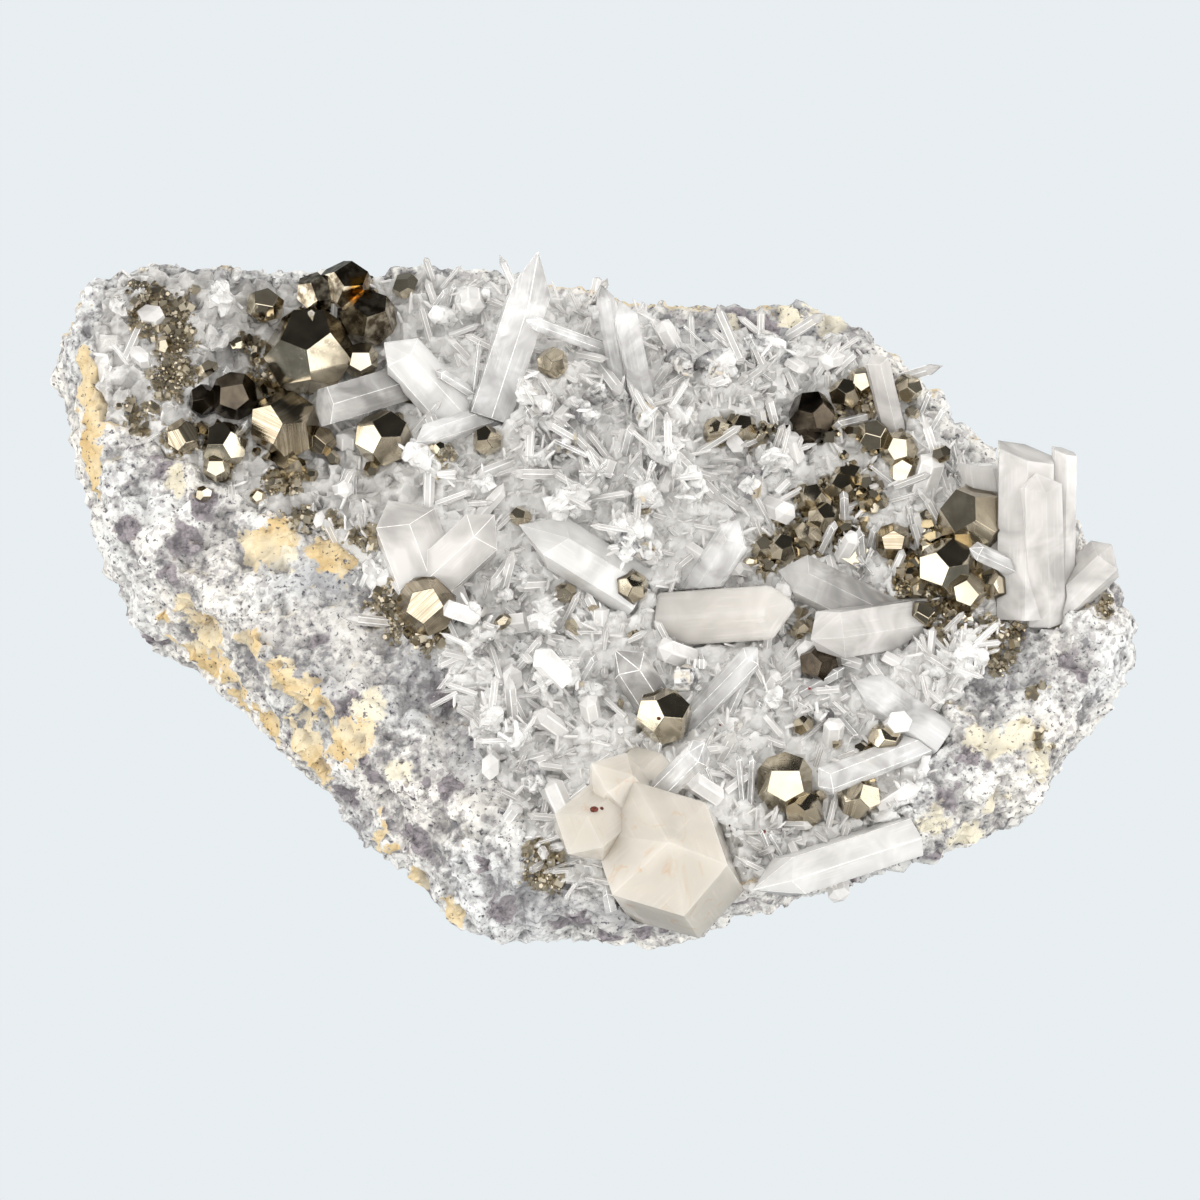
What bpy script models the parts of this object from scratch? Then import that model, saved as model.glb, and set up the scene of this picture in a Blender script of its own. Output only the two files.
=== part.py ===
"""Cabinet specimen of pyrite with quartz on its own rock matrix.

A slab of pale altered rock carries a druse of quartz, tall single quartz crystals and groups of
pyrite pyritohedra. Run with: blender --background --python part.py

The frame: +Z up, +X to the specimen's right, +Y to its back, the origin on the flat resting face.
"""

import math
import random
from collections import namedtuple

import bmesh
import bpy
from mathutils import Matrix, Vector, noise

# Driving dimensions
SPECIMEN_WIDTH = 0.180
MM = SPECIMEN_WIDTH / 180.0
SEAT_GAP = 0.3 * MM

# Places are given as they are seen from in front and above, in millimetres to the right of and
# above the middle of that view. A place becomes a point where the line of sight meets the rock.
VIEW_ELEVATION = math.radians(60.0)
VIEW_DISTANCE = 1000 * MM
VIEW_TARGET = Vector((0.0, 0.0, 25 * MM))
TOWARDS_EYE = Vector((0.0, -math.cos(VIEW_ELEVATION), math.sin(VIEW_ELEVATION)))
VIEW_UP = Vector((0.0, math.sin(VIEW_ELEVATION), math.cos(VIEW_ELEVATION)))

# The rock's upper face: a tilted plane with broad swellings and hollows
TOP_HEIGHT = 26.0
TILT_TO_BACK = 0.13
TILT_TO_RIGHT = -0.02
ROUGHNESS = 1.3
Swelling = namedtuple("Swelling", "across up radius height")
SWELLINGS = (
    Swelling(-12, 32, 18, 6.0),
    Swelling(-48, 33, 13, -2.5),
    Swelling(-72, 43, 12, 2.0),
    Swelling(6, 18, 15, 3.5),
    Swelling(38, 18, 13, -3.0),
    Swelling(24, 36, 12, 2.5),
    Swelling(72, 4, 12, 2.0),
    Swelling(-24, 8, 14, 2.0),
    Swelling(8, -36, 12, 2.0),
    Swelling(34, -32, 10, -2.0),
    Swelling(52, -14, 12, 1.5),
)

# Outlines, as seen. The shoulder is where the upper face breaks into the sides, the foot is at z = 0.
SHOULDER = (
    (-84, 26), (-85.5, 40), (-88.8, 51), (-77, 56.5), (-62, 56), (-45, 53), (-28, 56.5), (-10, 53),
    (6.7, 49.3), (23, 49.2), (36, 49.5), (43, 46.5), (51, 38), (61, 27), (76, 14), (83.5, 6),
    (86, -3), (81, -15), (69, -28), (51, -38.5), (27, -47.5), (6.7, -51.5), (-10, -48), (-28, -32),
    (-45, -16), (-63, -1), (-78, 9),
)
FOOT = (
    (-89, 30), (-87.5, 22), (-82, 10), (-79.2, -2), (-76, -8.5), (-66, -14), (-58.3, -20.6),
    (-45, -33.3), (-33.3, -45.5), (-24.5, -54.8), (-16, -57.8), (-6.7, -56.5), (6.7, -57.8),
    (20, -53), (33.3, -50), (46.7, -46), (60, -42), (71.5, -36), (79.2, -23.5), (87.5, -17), (86.5, -7),
    (80, 4), (66.7, 14), (53, 20), (43, 30), (23, 33), (0, 34), (-28, 36), (-50, 37), (-70, 40),
    (-84, 40),
)
BED = (
    (-85, 50), (-82, 30), (-72, 26), (-63, 19.5), (-56, 15), (-42, 9), (-37, 0), (-27, -8),
    (-22, -20), (-15, -32), (-11, -44), (0, -49), (24, -47), (46, -41), (53, -31), (58, -17),
    (68, -4), (76, 1), (84, 6), (78, 13), (59, 25), (51, 36), (43, 43), (33, 44), (17, 43),
    (6.7, 48.5), (-10, 52), (-28, 54.5), (-45, 51.5), (-60, 54), (-77, 55),
)
BED_THICKNESS = 8.5
GRID_STEP = 7.2
AROUND = 70
TOP_RINGS = (0.0, 0.5, 0.8, 0.93, 1.0)
WALL_SHARES = (0.12, 0.3, 0.5, 0.7, 0.88, 1.0)
WALL_BULGE = 2.2
WALL_ROUGHNESS = 1.9
FOOT_LIFT = 1.6
REST_FACE_SHARE = 0.86

# A quartz crystal: where its root and its tip are seen, how far the tip stands above the bed
Quartz = namedtuple("Quartz", "root tip rise width flat point roll")
BURIED = 5.0

BIG_QUARTZ = {
    "quartz_clear_blade": [
        Quartz((8.0, -34.0), (17.8, -24.2), 17, 4.8, 0.8, 2.4, 0),
    ],
    "quartz_tall_back": [
        Quartz((-17.0, 35.0), (-9.5, 58.0), 11, 7.8, 0.8, 8.0, 20),
    ],
    "quartz_back_needle": [
        Quartz((0.5, 42.0), (-12.6, 46.8), 14, 3.0, 0.75, 2.4, 10),
    ],
    "quartz_back_pair": [
        Quartz((6.7, 35.5), (3.6, 50.2), 11, 4.4, 0.85, 3.4, 0),
        Quartz((3.0, 37.0), (0.4, 52.6), 8, 3.2, 0.9, 2.6, 30),
    ],
    "quartz_right_column": [
        Quartz((70.6, 2.0), (71.0, 24.6), 14, 10.5, 0.75, 0.0, 0),
        Quartz((66.5, 7.0), (63.6, 22.0), 6, 8.0, 0.8, 0.0, 25),
        Quartz((74.0, 1.0), (73.4, 21.4), 16, 7.4, 0.8, 2.5, 10),
        Quartz((77.0, 2.5), (77.4, 24.8), 14, 4.4, 0.9, 0.0, 10),
    ],
    "quartz_right_stub": [
        Quartz((79.5, 2.5), (86.0, 8.6), 4, 8.0, 0.8, 2.5, 0),
    ],
    "quartz_right_needle": [
        Quartz((74.0, 3.0), (61.4, 8.8), 9, 3.4, 0.8, 1.8, 15),
    ],
    "quartz_cream_point": [
        Quartz((15.0, -3.0), (33.3, -1.8), 7, 10.4, 0.8, 5.0, 30),
    ],
    "quartz_striated_plate": [
        Quartz((47.5, -3.0), (30.0, 5.6), 6, 8.6, 0.5, 4.0, 0),
    ],
    "quartz_cloudy_block": [
        Quartz((49.5, -4.0), (34.4, -6.4), 8, 9.4, 0.9, 5.0, 20),
    ],
    "quartz_leaning_right": [
        Quartz((53.0, -20.4), (42.4, -13.0), 5, 6.8, 0.7, 4.0, 0),
    ],
    "quartz_long_front": [
        Quartz((47.5, -40.8), (25.0, -48.2), 2.5, 9.0, 0.75, 7.0, 30),
    ],
    "quartz_cream_block": [
        Quartz((11.6, -44.0), (8.6, -39.6), 14, 25.0, 0.86, 6.0, 5),
        Quartz((6.5, -31.0), (-6.5, -42.0), 8, 11.5, 0.75, 5.0, 0),
        Quartz((7.5, -36.0), (-1.5, -26.5), 9, 11.0, 0.8, 5.0, 20),
    ],
    "quartz_window_tip": [
        Quartz((8.8, -17.0), (2.8, -7.8), 8, 6.8, 0.85, 4.0, 0),
    ],
    "quartz_middle_cigar": [
        Quartz((2.5, 3.5), (-13.2, 13.2), 6, 9.4, 0.8, 7.0, 0),
    ],
    "quartz_clear_middle": [
        Quartz((16.0, 0.5), (23.8, 13.0), 12, 6.6, 0.6, 3.0, 0),
    ],
    "quartz_left_block": [
        Quartz((-28.3, 3.0), (-16.8, 13.5), 7, 9.0, 0.8, 4.0, 15),
        Quartz((-28.0, 1.0), (-34.0, 17.0), 5, 12.0, 0.6, 5.0, 0),
    ],
    "quartz_grey_block": [
        Quartz((-33.4, 36.0), (-46.0, 32.2), 6, 8.0, 0.85, 0.0, 30),
    ],
    "quartz_milky_left": [
        Quartz((-26.0, 33.0), (-35.5, 43.5), 6, 8.6, 0.7, 4.0, 0),
    ],
    "quartz_left_needle": [
        Quartz((-20.0, 30.2), (-31.0, 26.6), 5, 4.4, 0.8, 3.4, 0),
    ],
    "quartz_right_blade": [
        Quartz((51.0, -25.0), (36.0, -30.8), 5, 5.2, 0.7, 2.0, 0),
    ],
    "quartz_top_right": [
        Quartz((48.6, 29.5), (45.8, 41.2), 10, 4.4, 0.8, 1.5, 0),
    ],
    "quartz_front_shard": [
        Quartz((17.0, -18.0), (26.6, -8.2), 7, 4.6, 0.6, 2.0, 0),
    ],
}

# A pyrite pyritohedron: where its middle is seen, its size to a corner, what faces the eye, its
# turn about that line, and how far its middle stands above the bed as a share of its size
Pyrite = namedtuple("Pyrite", "across up radius facing spin stands", defaults=(0.42,))

PYRITE_GROUPS = {
    "pyrite_left_large": [
        Pyrite(-48.5, 41.3, 8.0, "corner", 38, 0.5),
        Pyrite(-39.8, 39.9, 3.2, "face", 90, 0.8),
    ],
    "pyrite_left_rim": [
        Pyrite(-38.6, 46.9, 5.2, "corner", 20, 0.6),
        Pyrite(-42.4, 52.0, 5.0, "corner", 5),
        Pyrite(-47.5, 51.2, 3.7, "edge", 20),
    ],
    "pyrite_left_block": [
        Pyrite(-55.8, 49.0, 3.5, "edge", 80),
    ],
    "pyrite_left_middle": [
        Pyrite(-52.5, 29.2, 6.3, "corner", 4),
        Pyrite(-46.5, 26.6, 2.9, "edge", 50),
    ],
    "pyrite_left_black": [
        Pyrite(-60.9, 34.0, 4.3, "face", 100),
        Pyrite(-66.0, 33.4, 2.8, "corner", 70),
    ],
    "pyrite_left_grey": [
        Pyrite(-62.6, 25.8, 4.2, "corner", 60),
        Pyrite(-63.9, 22.1, 2.6, "face", 90),
    ],
    "pyrite_left_striated": [
        Pyrite(-69.5, 27.3, 3.2, "edge", 30),
    ],
    "pyrite_left_third": [
        Pyrite(-36.2, 27.0, 5.1, "corner", 2),
    ],
    "pyrite_middle_single": [
        Pyrite(-18.8, 26.6, 2.7, "corner", 65),
    ],
    "pyrite_back_single": [
        Pyrite(-7.9, 39.5, 2.9, "corner", 15),
    ],
    "pyrite_front_striated": [
        Pyrite(-29.0, -1.0, 5.2, "face", -48),
    ],
    "pyrite_middle_dark": [
        Pyrite(5.4, 2.2, 2.9, "corner", 5),
    ],
    "pyrite_front_large": [
        Pyrite(10.7, -19.4, 5.0, "corner", -5),
    ],
    "pyrite_front_bright": [
        Pyrite(30.8, -30.4, 5.2, "face", 90),
        Pyrite(34.0, -35.0, 3.4, "corner", 20),
    ],
    "pyrite_front_right": [
        Pyrite(47.4, -23.2, 3.0, "corner", 110),
    ],
    "pyrite_front_edge": [
        Pyrite(43.1, -32.9, 3.9, "corner", 75),
    ],
    "pyrite_hollow_dark": [
        Pyrite(36.9, -10.4, 4.0, "corner", 15),
    ],
    "pyrite_back_right": [
        Pyrite(40.8, 34.3, 2.9, "corner", 25),
        Pyrite(43.6, 36.4, 2.7, "face", 20),
    ],
    "pyrite_rim_right": [
        Pyrite(51.2, 35.3, 2.7, "corner", 85),
    ],
    "pyrite_grey_right": [
        Pyrite(35.3, 31.0, 4.2, "corner", 45),
        Pyrite(34.4, 27.4, 2.8, "corner", 90),
    ],
    "pyrite_tan_right": [
        Pyrite(45.4, 27.4, 3.1, "edge", 75),
        Pyrite(49.7, 25.2, 3.3, "face", 5),
    ],
    "pyrite_upper_middle": [
        Pyrite(23.8, 28.4, 2.7, "corner", 30),
        Pyrite(19.6, 28.0, 2.8, "corner", 75),
    ],
    "pyrite_right_group": [
        Pyrite(35.6, 16.4, 3.2, "corner", 50),
        Pyrite(37.2, 13.6, 2.9, "corner", 5),
        Pyrite(40.1, 18.4, 2.9, "corner", 30),
        Pyrite(34.6, 10.6, 2.7, "corner", 80),
    ],
    "pyrite_under_plate": [
        Pyrite(30.3, 8.4, 2.9, "corner", 20),
    ],
    "pyrite_right_bright": [
        Pyrite(48.8, 9.7, 3.3, "face", -90),
    ],
    "pyrite_right_large": [
        Pyrite(62.2, 13.2, 6.4, "corner", -30, 0.75),
        Pyrite(57.9, 5.4, 5.3, "corner", 10, 0.6),
        Pyrite(60.9, 1.2, 3.6, "face", 40, 0.9),
        Pyrite(65.4, 2.6, 2.9, "corner", 60),
    ],
    "pyrite_right_front": [
        Pyrite(53.7, -2.5, 2.6, "edge", 60),
    ],
}

# The druse's own crystals, fused with it, the nearest to upright in the middle of the bed
DRUSE_COUNT = 58
DRUSE_SEED = 11
DRUSE_WIDTHS = (2.6, 5.4)
DRUSE_LEAN = 0.95
DRUSE_CLEARANCE = 1.5
BARE_AREAS = (Swelling(-50, 16, 10, 0), Swelling(-74, 40, 9, 0), Swelling(70, -6, 7, 0))

Finish = namedtuple("Finish", "colour roughness metallic")
ROCK_FINISH = Finish((0.62, 0.60, 0.58, 1), 0.9, 0.0)
QUARTZ_FINISH = Finish((0.86, 0.86, 0.87, 1), 0.15, 0.0)
PYRITE_FINISH = Finish((0.56, 0.49, 0.36, 1), 0.25, 1.0)


def on_sight_line(across, up, height):
    """The point at this height, in metres, on the line of sight through (across, up)."""
    eye = VIEW_TARGET + TOWARDS_EYE * VIEW_DISTANCE
    mark = VIEW_TARGET + Vector((across * MM, 0, 0)) + VIEW_UP * (up * MM)
    ray = mark - eye
    return eye + ray * ((height - eye.z) / ray.z)


def tilted_plane(x, y):
    return TOP_HEIGHT * MM + TILT_TO_BACK * y + TILT_TO_RIGHT * x


def place_on(surface, across, up):
    """Where the line of sight through (across, up) meets a surface given as height(x, y)."""
    height = TOP_HEIGHT * MM
    for _ in range(14):
        point = on_sight_line(across, up, height)
        height = 0.5 * (height + surface(point.x, point.y))
    return on_sight_line(across, up, height)


SWELLING_PLACES = [(place_on(tilted_plane, s.across, s.up), s) for s in SWELLINGS]


def terrain(x, y):
    """Height of the rock's upper face, and of the quartz bed that lies in it."""
    height = tilted_plane(x, y)
    for middle, swelling in SWELLING_PLACES:
        near = ((x - middle.x) ** 2 + (y - middle.y) ** 2) / (swelling.radius * MM) ** 2
        height += swelling.height * MM * math.exp(-near)
    ripple = noise.noise(Vector((x, y, 0)) / (9 * MM)) + 0.5 * noise.noise(Vector((x, y, 5)) / (4 * MM))
    return height + ROUGHNESS * MM * ripple


def seat(across, up):
    return place_on(terrain, across, up)


class Outline:
    """A closed outline round a middle, read as a radius at any bearing."""

    def __init__(self, points, middle=(0.0, 0.0)):
        self.middle = middle
        polar = [(math.atan2(p.y - middle[1], p.x - middle[0]), p) for p in points]
        self.stations = sorted((b, math.hypot(p.x - middle[0], p.y - middle[1])) for b, p in polar)

    def radius(self, bearing):
        bearing = (bearing + math.pi) % math.tau - math.pi
        stations = self.stations
        ring = [(stations[-1][0] - math.tau, stations[-1][1])] + stations
        ring.append((stations[0][0] + math.tau, stations[0][1]))
        for (b0, r0), (b1, r1) in zip(ring, ring[1:]):
            if b0 <= bearing <= b1:
                share = (bearing - b0) / max(b1 - b0, 1e-9)
                return r0 + (r1 - r0) * share
        return ring[0][1]


def new_object(name, bm, collection):
    mesh = bpy.data.meshes.new(name)
    bm.to_mesh(mesh)
    bm.free()
    made = bpy.data.objects.new(name, mesh)
    collection.objects.link(made)
    return made


def shaped_sphere(rings, point_at):
    """A UV sphere whose ring and bearing are turned into places: each of its rings becomes a loop."""
    bm = bmesh.new()
    bmesh.ops.create_uvsphere(bm, u_segments=AROUND, v_segments=rings, radius=1.0)
    for vert in bm.verts:
        ring = round(math.acos(max(-1.0, min(1.0, vert.co.z))) / math.pi * rings)
        vert.co = point_at(ring, math.atan2(vert.co.y, vert.co.x))
    bmesh.ops.triangulate(bm, faces=bm.faces)
    return bm


def rock_block():
    """The slab before any pocket: a rough upper face, broken sides and a flat resting face."""
    shoulder = Outline([seat(*p) for p in SHOULDER])
    foot = Outline([on_sight_line(*p, 0.0) for p in FOOT])
    last_top = len(TOP_RINGS) - 1
    last_wall = last_top + len(WALL_SHARES)

    def point_at(ring, bearing):
        way = Vector((math.cos(bearing), math.sin(bearing), 0))
        edge, base = shoulder.radius(bearing), foot.radius(bearing)
        if ring <= last_top:
            flat = way * edge * TOP_RINGS[ring]
            return Vector((flat.x, flat.y, terrain(flat.x, flat.y)))
        if ring > last_wall:
            inner = REST_FACE_SHARE if ring == last_wall + 1 else 0.0
            return way * base * inner
        share = WALL_SHARES[ring - last_top - 1]
        top = terrain(way.x * edge, way.y * edge)
        height = top * (1 - share) + FOOT_LIFT * MM * share
        bulge = WALL_BULGE * math.sin(math.pi * share) * MM
        out = edge + (base - edge) * share ** 0.8 + bulge
        rough = noise.noise(Vector((way.x * out, way.y * out, height)) / (11 * MM))
        fine = noise.noise(Vector((way.x * out, way.y * out, height)) / (4.5 * MM))
        fade = math.sin(math.pi * min(1.0, share * 0.9)) ** 0.5
        out += WALL_ROUGHNESS * MM * (rough * 1.4 + fine * 0.6) * fade
        return way * out + Vector((0, 0, height))

    return shaped_sphere(last_wall + 2, point_at)


def outline_polygon(points, grown):
    """Even points round an outline, moved outwards by grown metres."""
    middle = (-0.010, 0.012)
    outline = Outline(points, middle)
    count = 72
    ring = []
    for i in range(count):
        bearing = math.tau * i / count - math.pi
        wobble = 0.9 * MM * noise.noise(Vector((math.cos(bearing), math.sin(bearing), 0)) * 7)
        reach = outline.radius(bearing) + wobble
        way = Vector((math.cos(bearing), math.sin(bearing), 0))
        ring.append(Vector((*middle, 0)) + way * reach)
    moved = []
    for i, point in enumerate(ring):
        along = (ring[(i + 1) % count] - ring[i - 1]).normalized()
        moved.append(point + Vector((along.y, -along.x, 0)) * grown)
    return moved


def bed_floor(x, y):
    return tilted_plane(x, y) - BED_THICKNESS * MM


def outline_prism(name, grown, collection):
    """An upright prism on the bed's outline, from its floor to well above the crystals."""
    bm = bmesh.new()
    ring = outline_polygon([seat(*p) for p in BED], grown)
    verts = [bm.verts.new((p.x, p.y, bed_floor(p.x, p.y) - grown)) for p in ring]
    floor = bm.faces.new(verts)
    raised = bmesh.ops.extrude_face_region(bm, geom=[floor])["geom"]
    upper = [g for g in raised if isinstance(g, bmesh.types.BMVert)]
    bmesh.ops.translate(bm, verts=upper, vec=(0, 0, 60 * MM))
    bmesh.ops.recalc_face_normals(bm, faces=bm.faces)
    return new_object(name, bm, collection)


def terrain_slab(collection):
    """A slab whose upper side is the terrain, cut to the bed's outline later."""
    half_x, half_y, deep = 96 * MM, 68 * MM, 12 * MM
    bm = bmesh.new()
    across, along = (round(2 * half / (GRID_STEP * MM)) for half in (half_x, half_y))
    bmesh.ops.create_grid(bm, x_segments=across, y_segments=along, size=1.0)
    bmesh.ops.scale(bm, verts=bm.verts, vec=(half_x, half_y, 1))
    top = list(bm.verts)
    lower = bmesh.ops.extrude_face_region(bm, geom=list(bm.faces), use_keep_orig=True)["geom"]
    under = [g for g in lower if isinstance(g, bmesh.types.BMVert)]
    for vert in under:
        vert.co.z = bed_floor(vert.co.x, vert.co.y) - deep
    for vert in top:
        vert.co.z = terrain(vert.co.x, vert.co.y)
    bmesh.ops.recalc_face_normals(bm, faces=bm.faces)
    under_edges = [e for e in bm.edges if all(v in set(under) for v in e.verts)]
    bmesh.ops.dissolve_limit(bm, angle_limit=math.radians(0.5), verts=under, edges=under_edges)
    bmesh.ops.triangulate(bm, faces=[f for f in bm.faces if len(f.verts) == 4])
    return new_object("terrain_slab", bm, collection)


def quartz_solid(crystal, grown):
    """A six-sided prism with a pyramid, in place. With no point it ends in a plain slanting break."""
    root = seat(*crystal.root)
    tip = on_sight_line(*crystal.tip, root.z + crystal.rise * MM)
    axis = (tip - root).normalized()
    start = root - axis * (BURIED * MM + grown)
    length = (tip - start).length + grown
    radius = crystal.width * MM / 2 + grown * 1.16
    point = crystal.point * MM
    shaft = length - point
    bm = bmesh.new()
    bmesh.ops.create_cone(bm, cap_ends=True, segments=6, radius1=radius, radius2=radius, depth=shaft)
    bmesh.ops.translate(bm, verts=bm.verts, vec=(0, 0, shaft / 2))
    upper = [v for v in bm.verts if v.co.z > shaft / 2]
    if point:
        cap = next(f for f in bm.faces if all(v in upper for v in f.verts))
        apex = bmesh.ops.poke(bm, faces=[cap])["verts"][0]
        apex.co = Vector((radius * 0.22, radius * 0.12, length))
        for i, vert in enumerate(sorted(upper, key=lambda v: math.atan2(v.co.y, v.co.x))):
            vert.co.z += point * (0.16 if i % 2 else -0.16)
    else:
        for vert in upper:
            vert.co.z += 0.28 * vert.co.x - 0.18 * vert.co.y
    bmesh.ops.scale(bm, verts=bm.verts, vec=(1, crystal.flat, 1))
    turn = axis.to_track_quat("Z", "Y").to_matrix().to_4x4()
    roll = Matrix.Rotation(math.radians(crystal.roll), 4, "Z")
    bmesh.ops.transform(bm, verts=bm.verts, matrix=Matrix.Translation(start) @ turn @ roll)
    return bm


FACING = {
    "corner": Vector((1, 1, 1)),
    "face": Vector((2, 0, 1)),
    "edge": Vector((0, 0, 1)),
}
FACING_UP = {
    "corner": Vector((-1, -1, 2)),
    "face": Vector((0, 1, 0)),
    "edge": Vector((1, 0, 0)),
}


def facing_turn(facing, spin):
    """The turn that brings the crystal's corner, face or edge towards the eye, spun about that line."""
    forward = FACING[facing].normalized()
    upward = (FACING_UP[facing] - forward * FACING_UP[facing].dot(forward)).normalized()
    crystal_axes = Matrix((upward.cross(forward), upward, forward)).transposed()
    view_axes = Matrix((VIEW_UP.cross(TOWARDS_EYE), VIEW_UP, TOWARDS_EYE)).transposed()
    spun = Matrix.Rotation(math.radians(spin), 3, "Z")
    return (view_axes @ spun @ crystal_axes.transposed()).to_4x4()


def pyrite_solid(crystal, grown):
    """A pyritohedron: twelve five-sided faces, hulled from its twenty corners."""
    seated = seat(crystal.across, crystal.up)
    height = seated.z + crystal.stands * crystal.radius * MM
    middle = on_sight_line(crystal.across, crystal.up, height)
    size = (crystal.radius * MM + grown * 1.3) / math.sqrt(3)
    bm = bmesh.new()
    for x in (-1, 1):
        for y in (-1, 1):
            for z in (-1, 1):
                bm.verts.new((x, y, z))
            roof = Vector((0, 1.5 * x, 0.75 * y))
            for corner in (roof, roof.zxy, roof.yzx):
                bm.verts.new(corner)
    bmesh.ops.convex_hull(bm, input=bm.verts)
    bmesh.ops.dissolve_limit(bm, angle_limit=math.radians(1), verts=bm.verts, edges=bm.edges)
    place = Matrix.Translation(middle) @ facing_turn(crystal.facing, crystal.spin) @ Matrix.Scale(size, 4)
    bmesh.ops.transform(bm, verts=bm.verts, matrix=place)
    bmesh.ops.recalc_face_normals(bm, faces=bm.faces)
    return bm


def with_boolean(target, operation, tool):
    """Applies one Boolean to target, whose other operand is an object or a collection."""
    modifier = target.modifiers.new(operation, "BOOLEAN")
    modifier.operation = operation
    modifier.solver = "EXACT"
    if isinstance(tool, bpy.types.Collection):
        modifier.operand_type = "COLLECTION"
        modifier.collection = tool
    else:
        modifier.object = tool
    bpy.context.view_layer.update()
    graph = bpy.context.evaluated_depsgraph_get()
    mesh = bpy.data.meshes.new_from_object(target.evaluated_get(graph))
    target.modifiers.clear()
    target.data = mesh


def keep_largest_body(target):
    """Drops the chips that a cut leaves loose."""
    bm = bmesh.new()
    bm.from_mesh(target.data)
    bmesh.ops.dissolve_degenerate(bm, dist=1e-6, edges=bm.edges)
    left, bodies = set(bm.faces), []
    while left:
        body, front = set(), [next(iter(left))]
        while front:
            face = front.pop()
            if face in body:
                continue
            body.add(face)
            front.extend(near for edge in face.edges for near in edge.link_faces)
        bodies.append(body)
        left -= body
    bodies.sort(key=lambda body: sum(f.calc_area() for f in body))
    loose = [face for body in bodies[:-1] for face in body]
    bmesh.ops.delete(bm, geom=loose, context="FACES")
    bm.to_mesh(target.data)
    bm.free()


def box_of(obj):
    corners = [Vector(c) for c in obj.bound_box]
    return [(min(c[i] for c in corners), max(c[i] for c in corners)) for i in range(3)]


def near(a, b):
    pairs = zip(box_of(a), box_of(b))
    return all(low_a <= high_b and low_b <= high_a for (low_a, high_a), (low_b, high_b) in pairs)


def fit_solid(name, solids, cutters, cutter_home, parts):
    """Joins solids into one node and cuts the seats of its neighbours into it."""
    node = solids[0]
    node.name = name
    if len(solids) > 1:
        others = bpy.data.collections.new(name + "_joins")
        bpy.context.scene.collection.children.link(others)
        for solid in solids[1:]:
            cutter_home.objects.unlink(solid)
            others.objects.link(solid)
        with_boolean(node, "UNION", others)
        for solid in list(others.objects):
            bpy.data.objects.remove(solid)
        bpy.data.collections.remove(others)
    bpy.context.view_layer.update()
    touching = [c for c in cutters if near(node, c)]
    if touching:
        seats = bpy.data.collections.new(name + "_seats")
        bpy.context.scene.collection.children.link(seats)
        for cutter in touching:
            seats.objects.link(cutter)
        with_boolean(node, "DIFFERENCE", seats)
        bpy.data.collections.remove(seats)
    keep_largest_body(node)
    cutter_home.objects.unlink(node)
    parts.objects.link(node)
    return node


def druse_crystals():
    """The smaller crystals of the druse, by a seeded rule: jittered places over the bed."""
    draw = random.Random(DRUSE_SEED)
    inside = Outline([Vector((p[0], p[1], 0)) for p in BED], (-8.0, 10.0))
    taken = [(p.across, p.up, p.radius) for group in PYRITE_GROUPS.values() for p in group]
    for group in BIG_QUARTZ.values():
        for q in group:
            for share in (0.1, 0.5, 0.9):
                spot = Vector(q.root).lerp(Vector(q.tip), share)
                taken.append((spot.x, spot.y, q.width / 2))
    made = []
    while len(made) < DRUSE_COUNT:
        across, up = draw.uniform(-84, 84), draw.uniform(-50, 54)
        width = DRUSE_WIDTHS[0] + (DRUSE_WIDTHS[1] - DRUSE_WIDTHS[0]) * draw.random() ** 1.6
        lean = draw.uniform(0.35, DRUSE_LEAN)
        bearing = draw.uniform(0, math.tau)
        offset = Vector((across + 8.0, up - 10.0))
        room = inside.radius(math.atan2(offset.y, offset.x)) - offset.length
        bare = any(math.hypot(across - b.across, up - b.up) < b.radius for b in BARE_AREAS)
        crowded = any(
            math.hypot(across - t[0], up - t[1]) < t[2] + width / 2 + DRUSE_CLEARANCE for t in taken
        )
        if room < 2.5 or bare or crowded:
            continue
        length = width * draw.uniform(1.5, 2.7)
        reach = length * math.sin(lean)
        tip = (across + reach * math.cos(bearing), up + reach * math.sin(bearing))
        rise = length * math.cos(lean) + 0.8
        flat, roll = draw.uniform(0.6, 1.0), draw.uniform(0, 60)
        made.append(Quartz((across, up), tip, rise, width, flat, width * 0.7, roll))
        taken.append((across, up, width / 2 - DRUSE_CLEARANCE))
    return made


def material(name, finish):
    made = bpy.data.materials.new(name)
    made.use_nodes = True
    shader = made.node_tree.nodes["Principled BSDF"]
    shader.inputs["Base Color"].default_value = finish.colour
    shader.inputs["Roughness"].default_value = finish.roughness
    shader.inputs["Metallic"].default_value = finish.metallic
    return made


def clear_scene():
    for old in list(bpy.data.objects):
        bpy.data.objects.remove(old)


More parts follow.
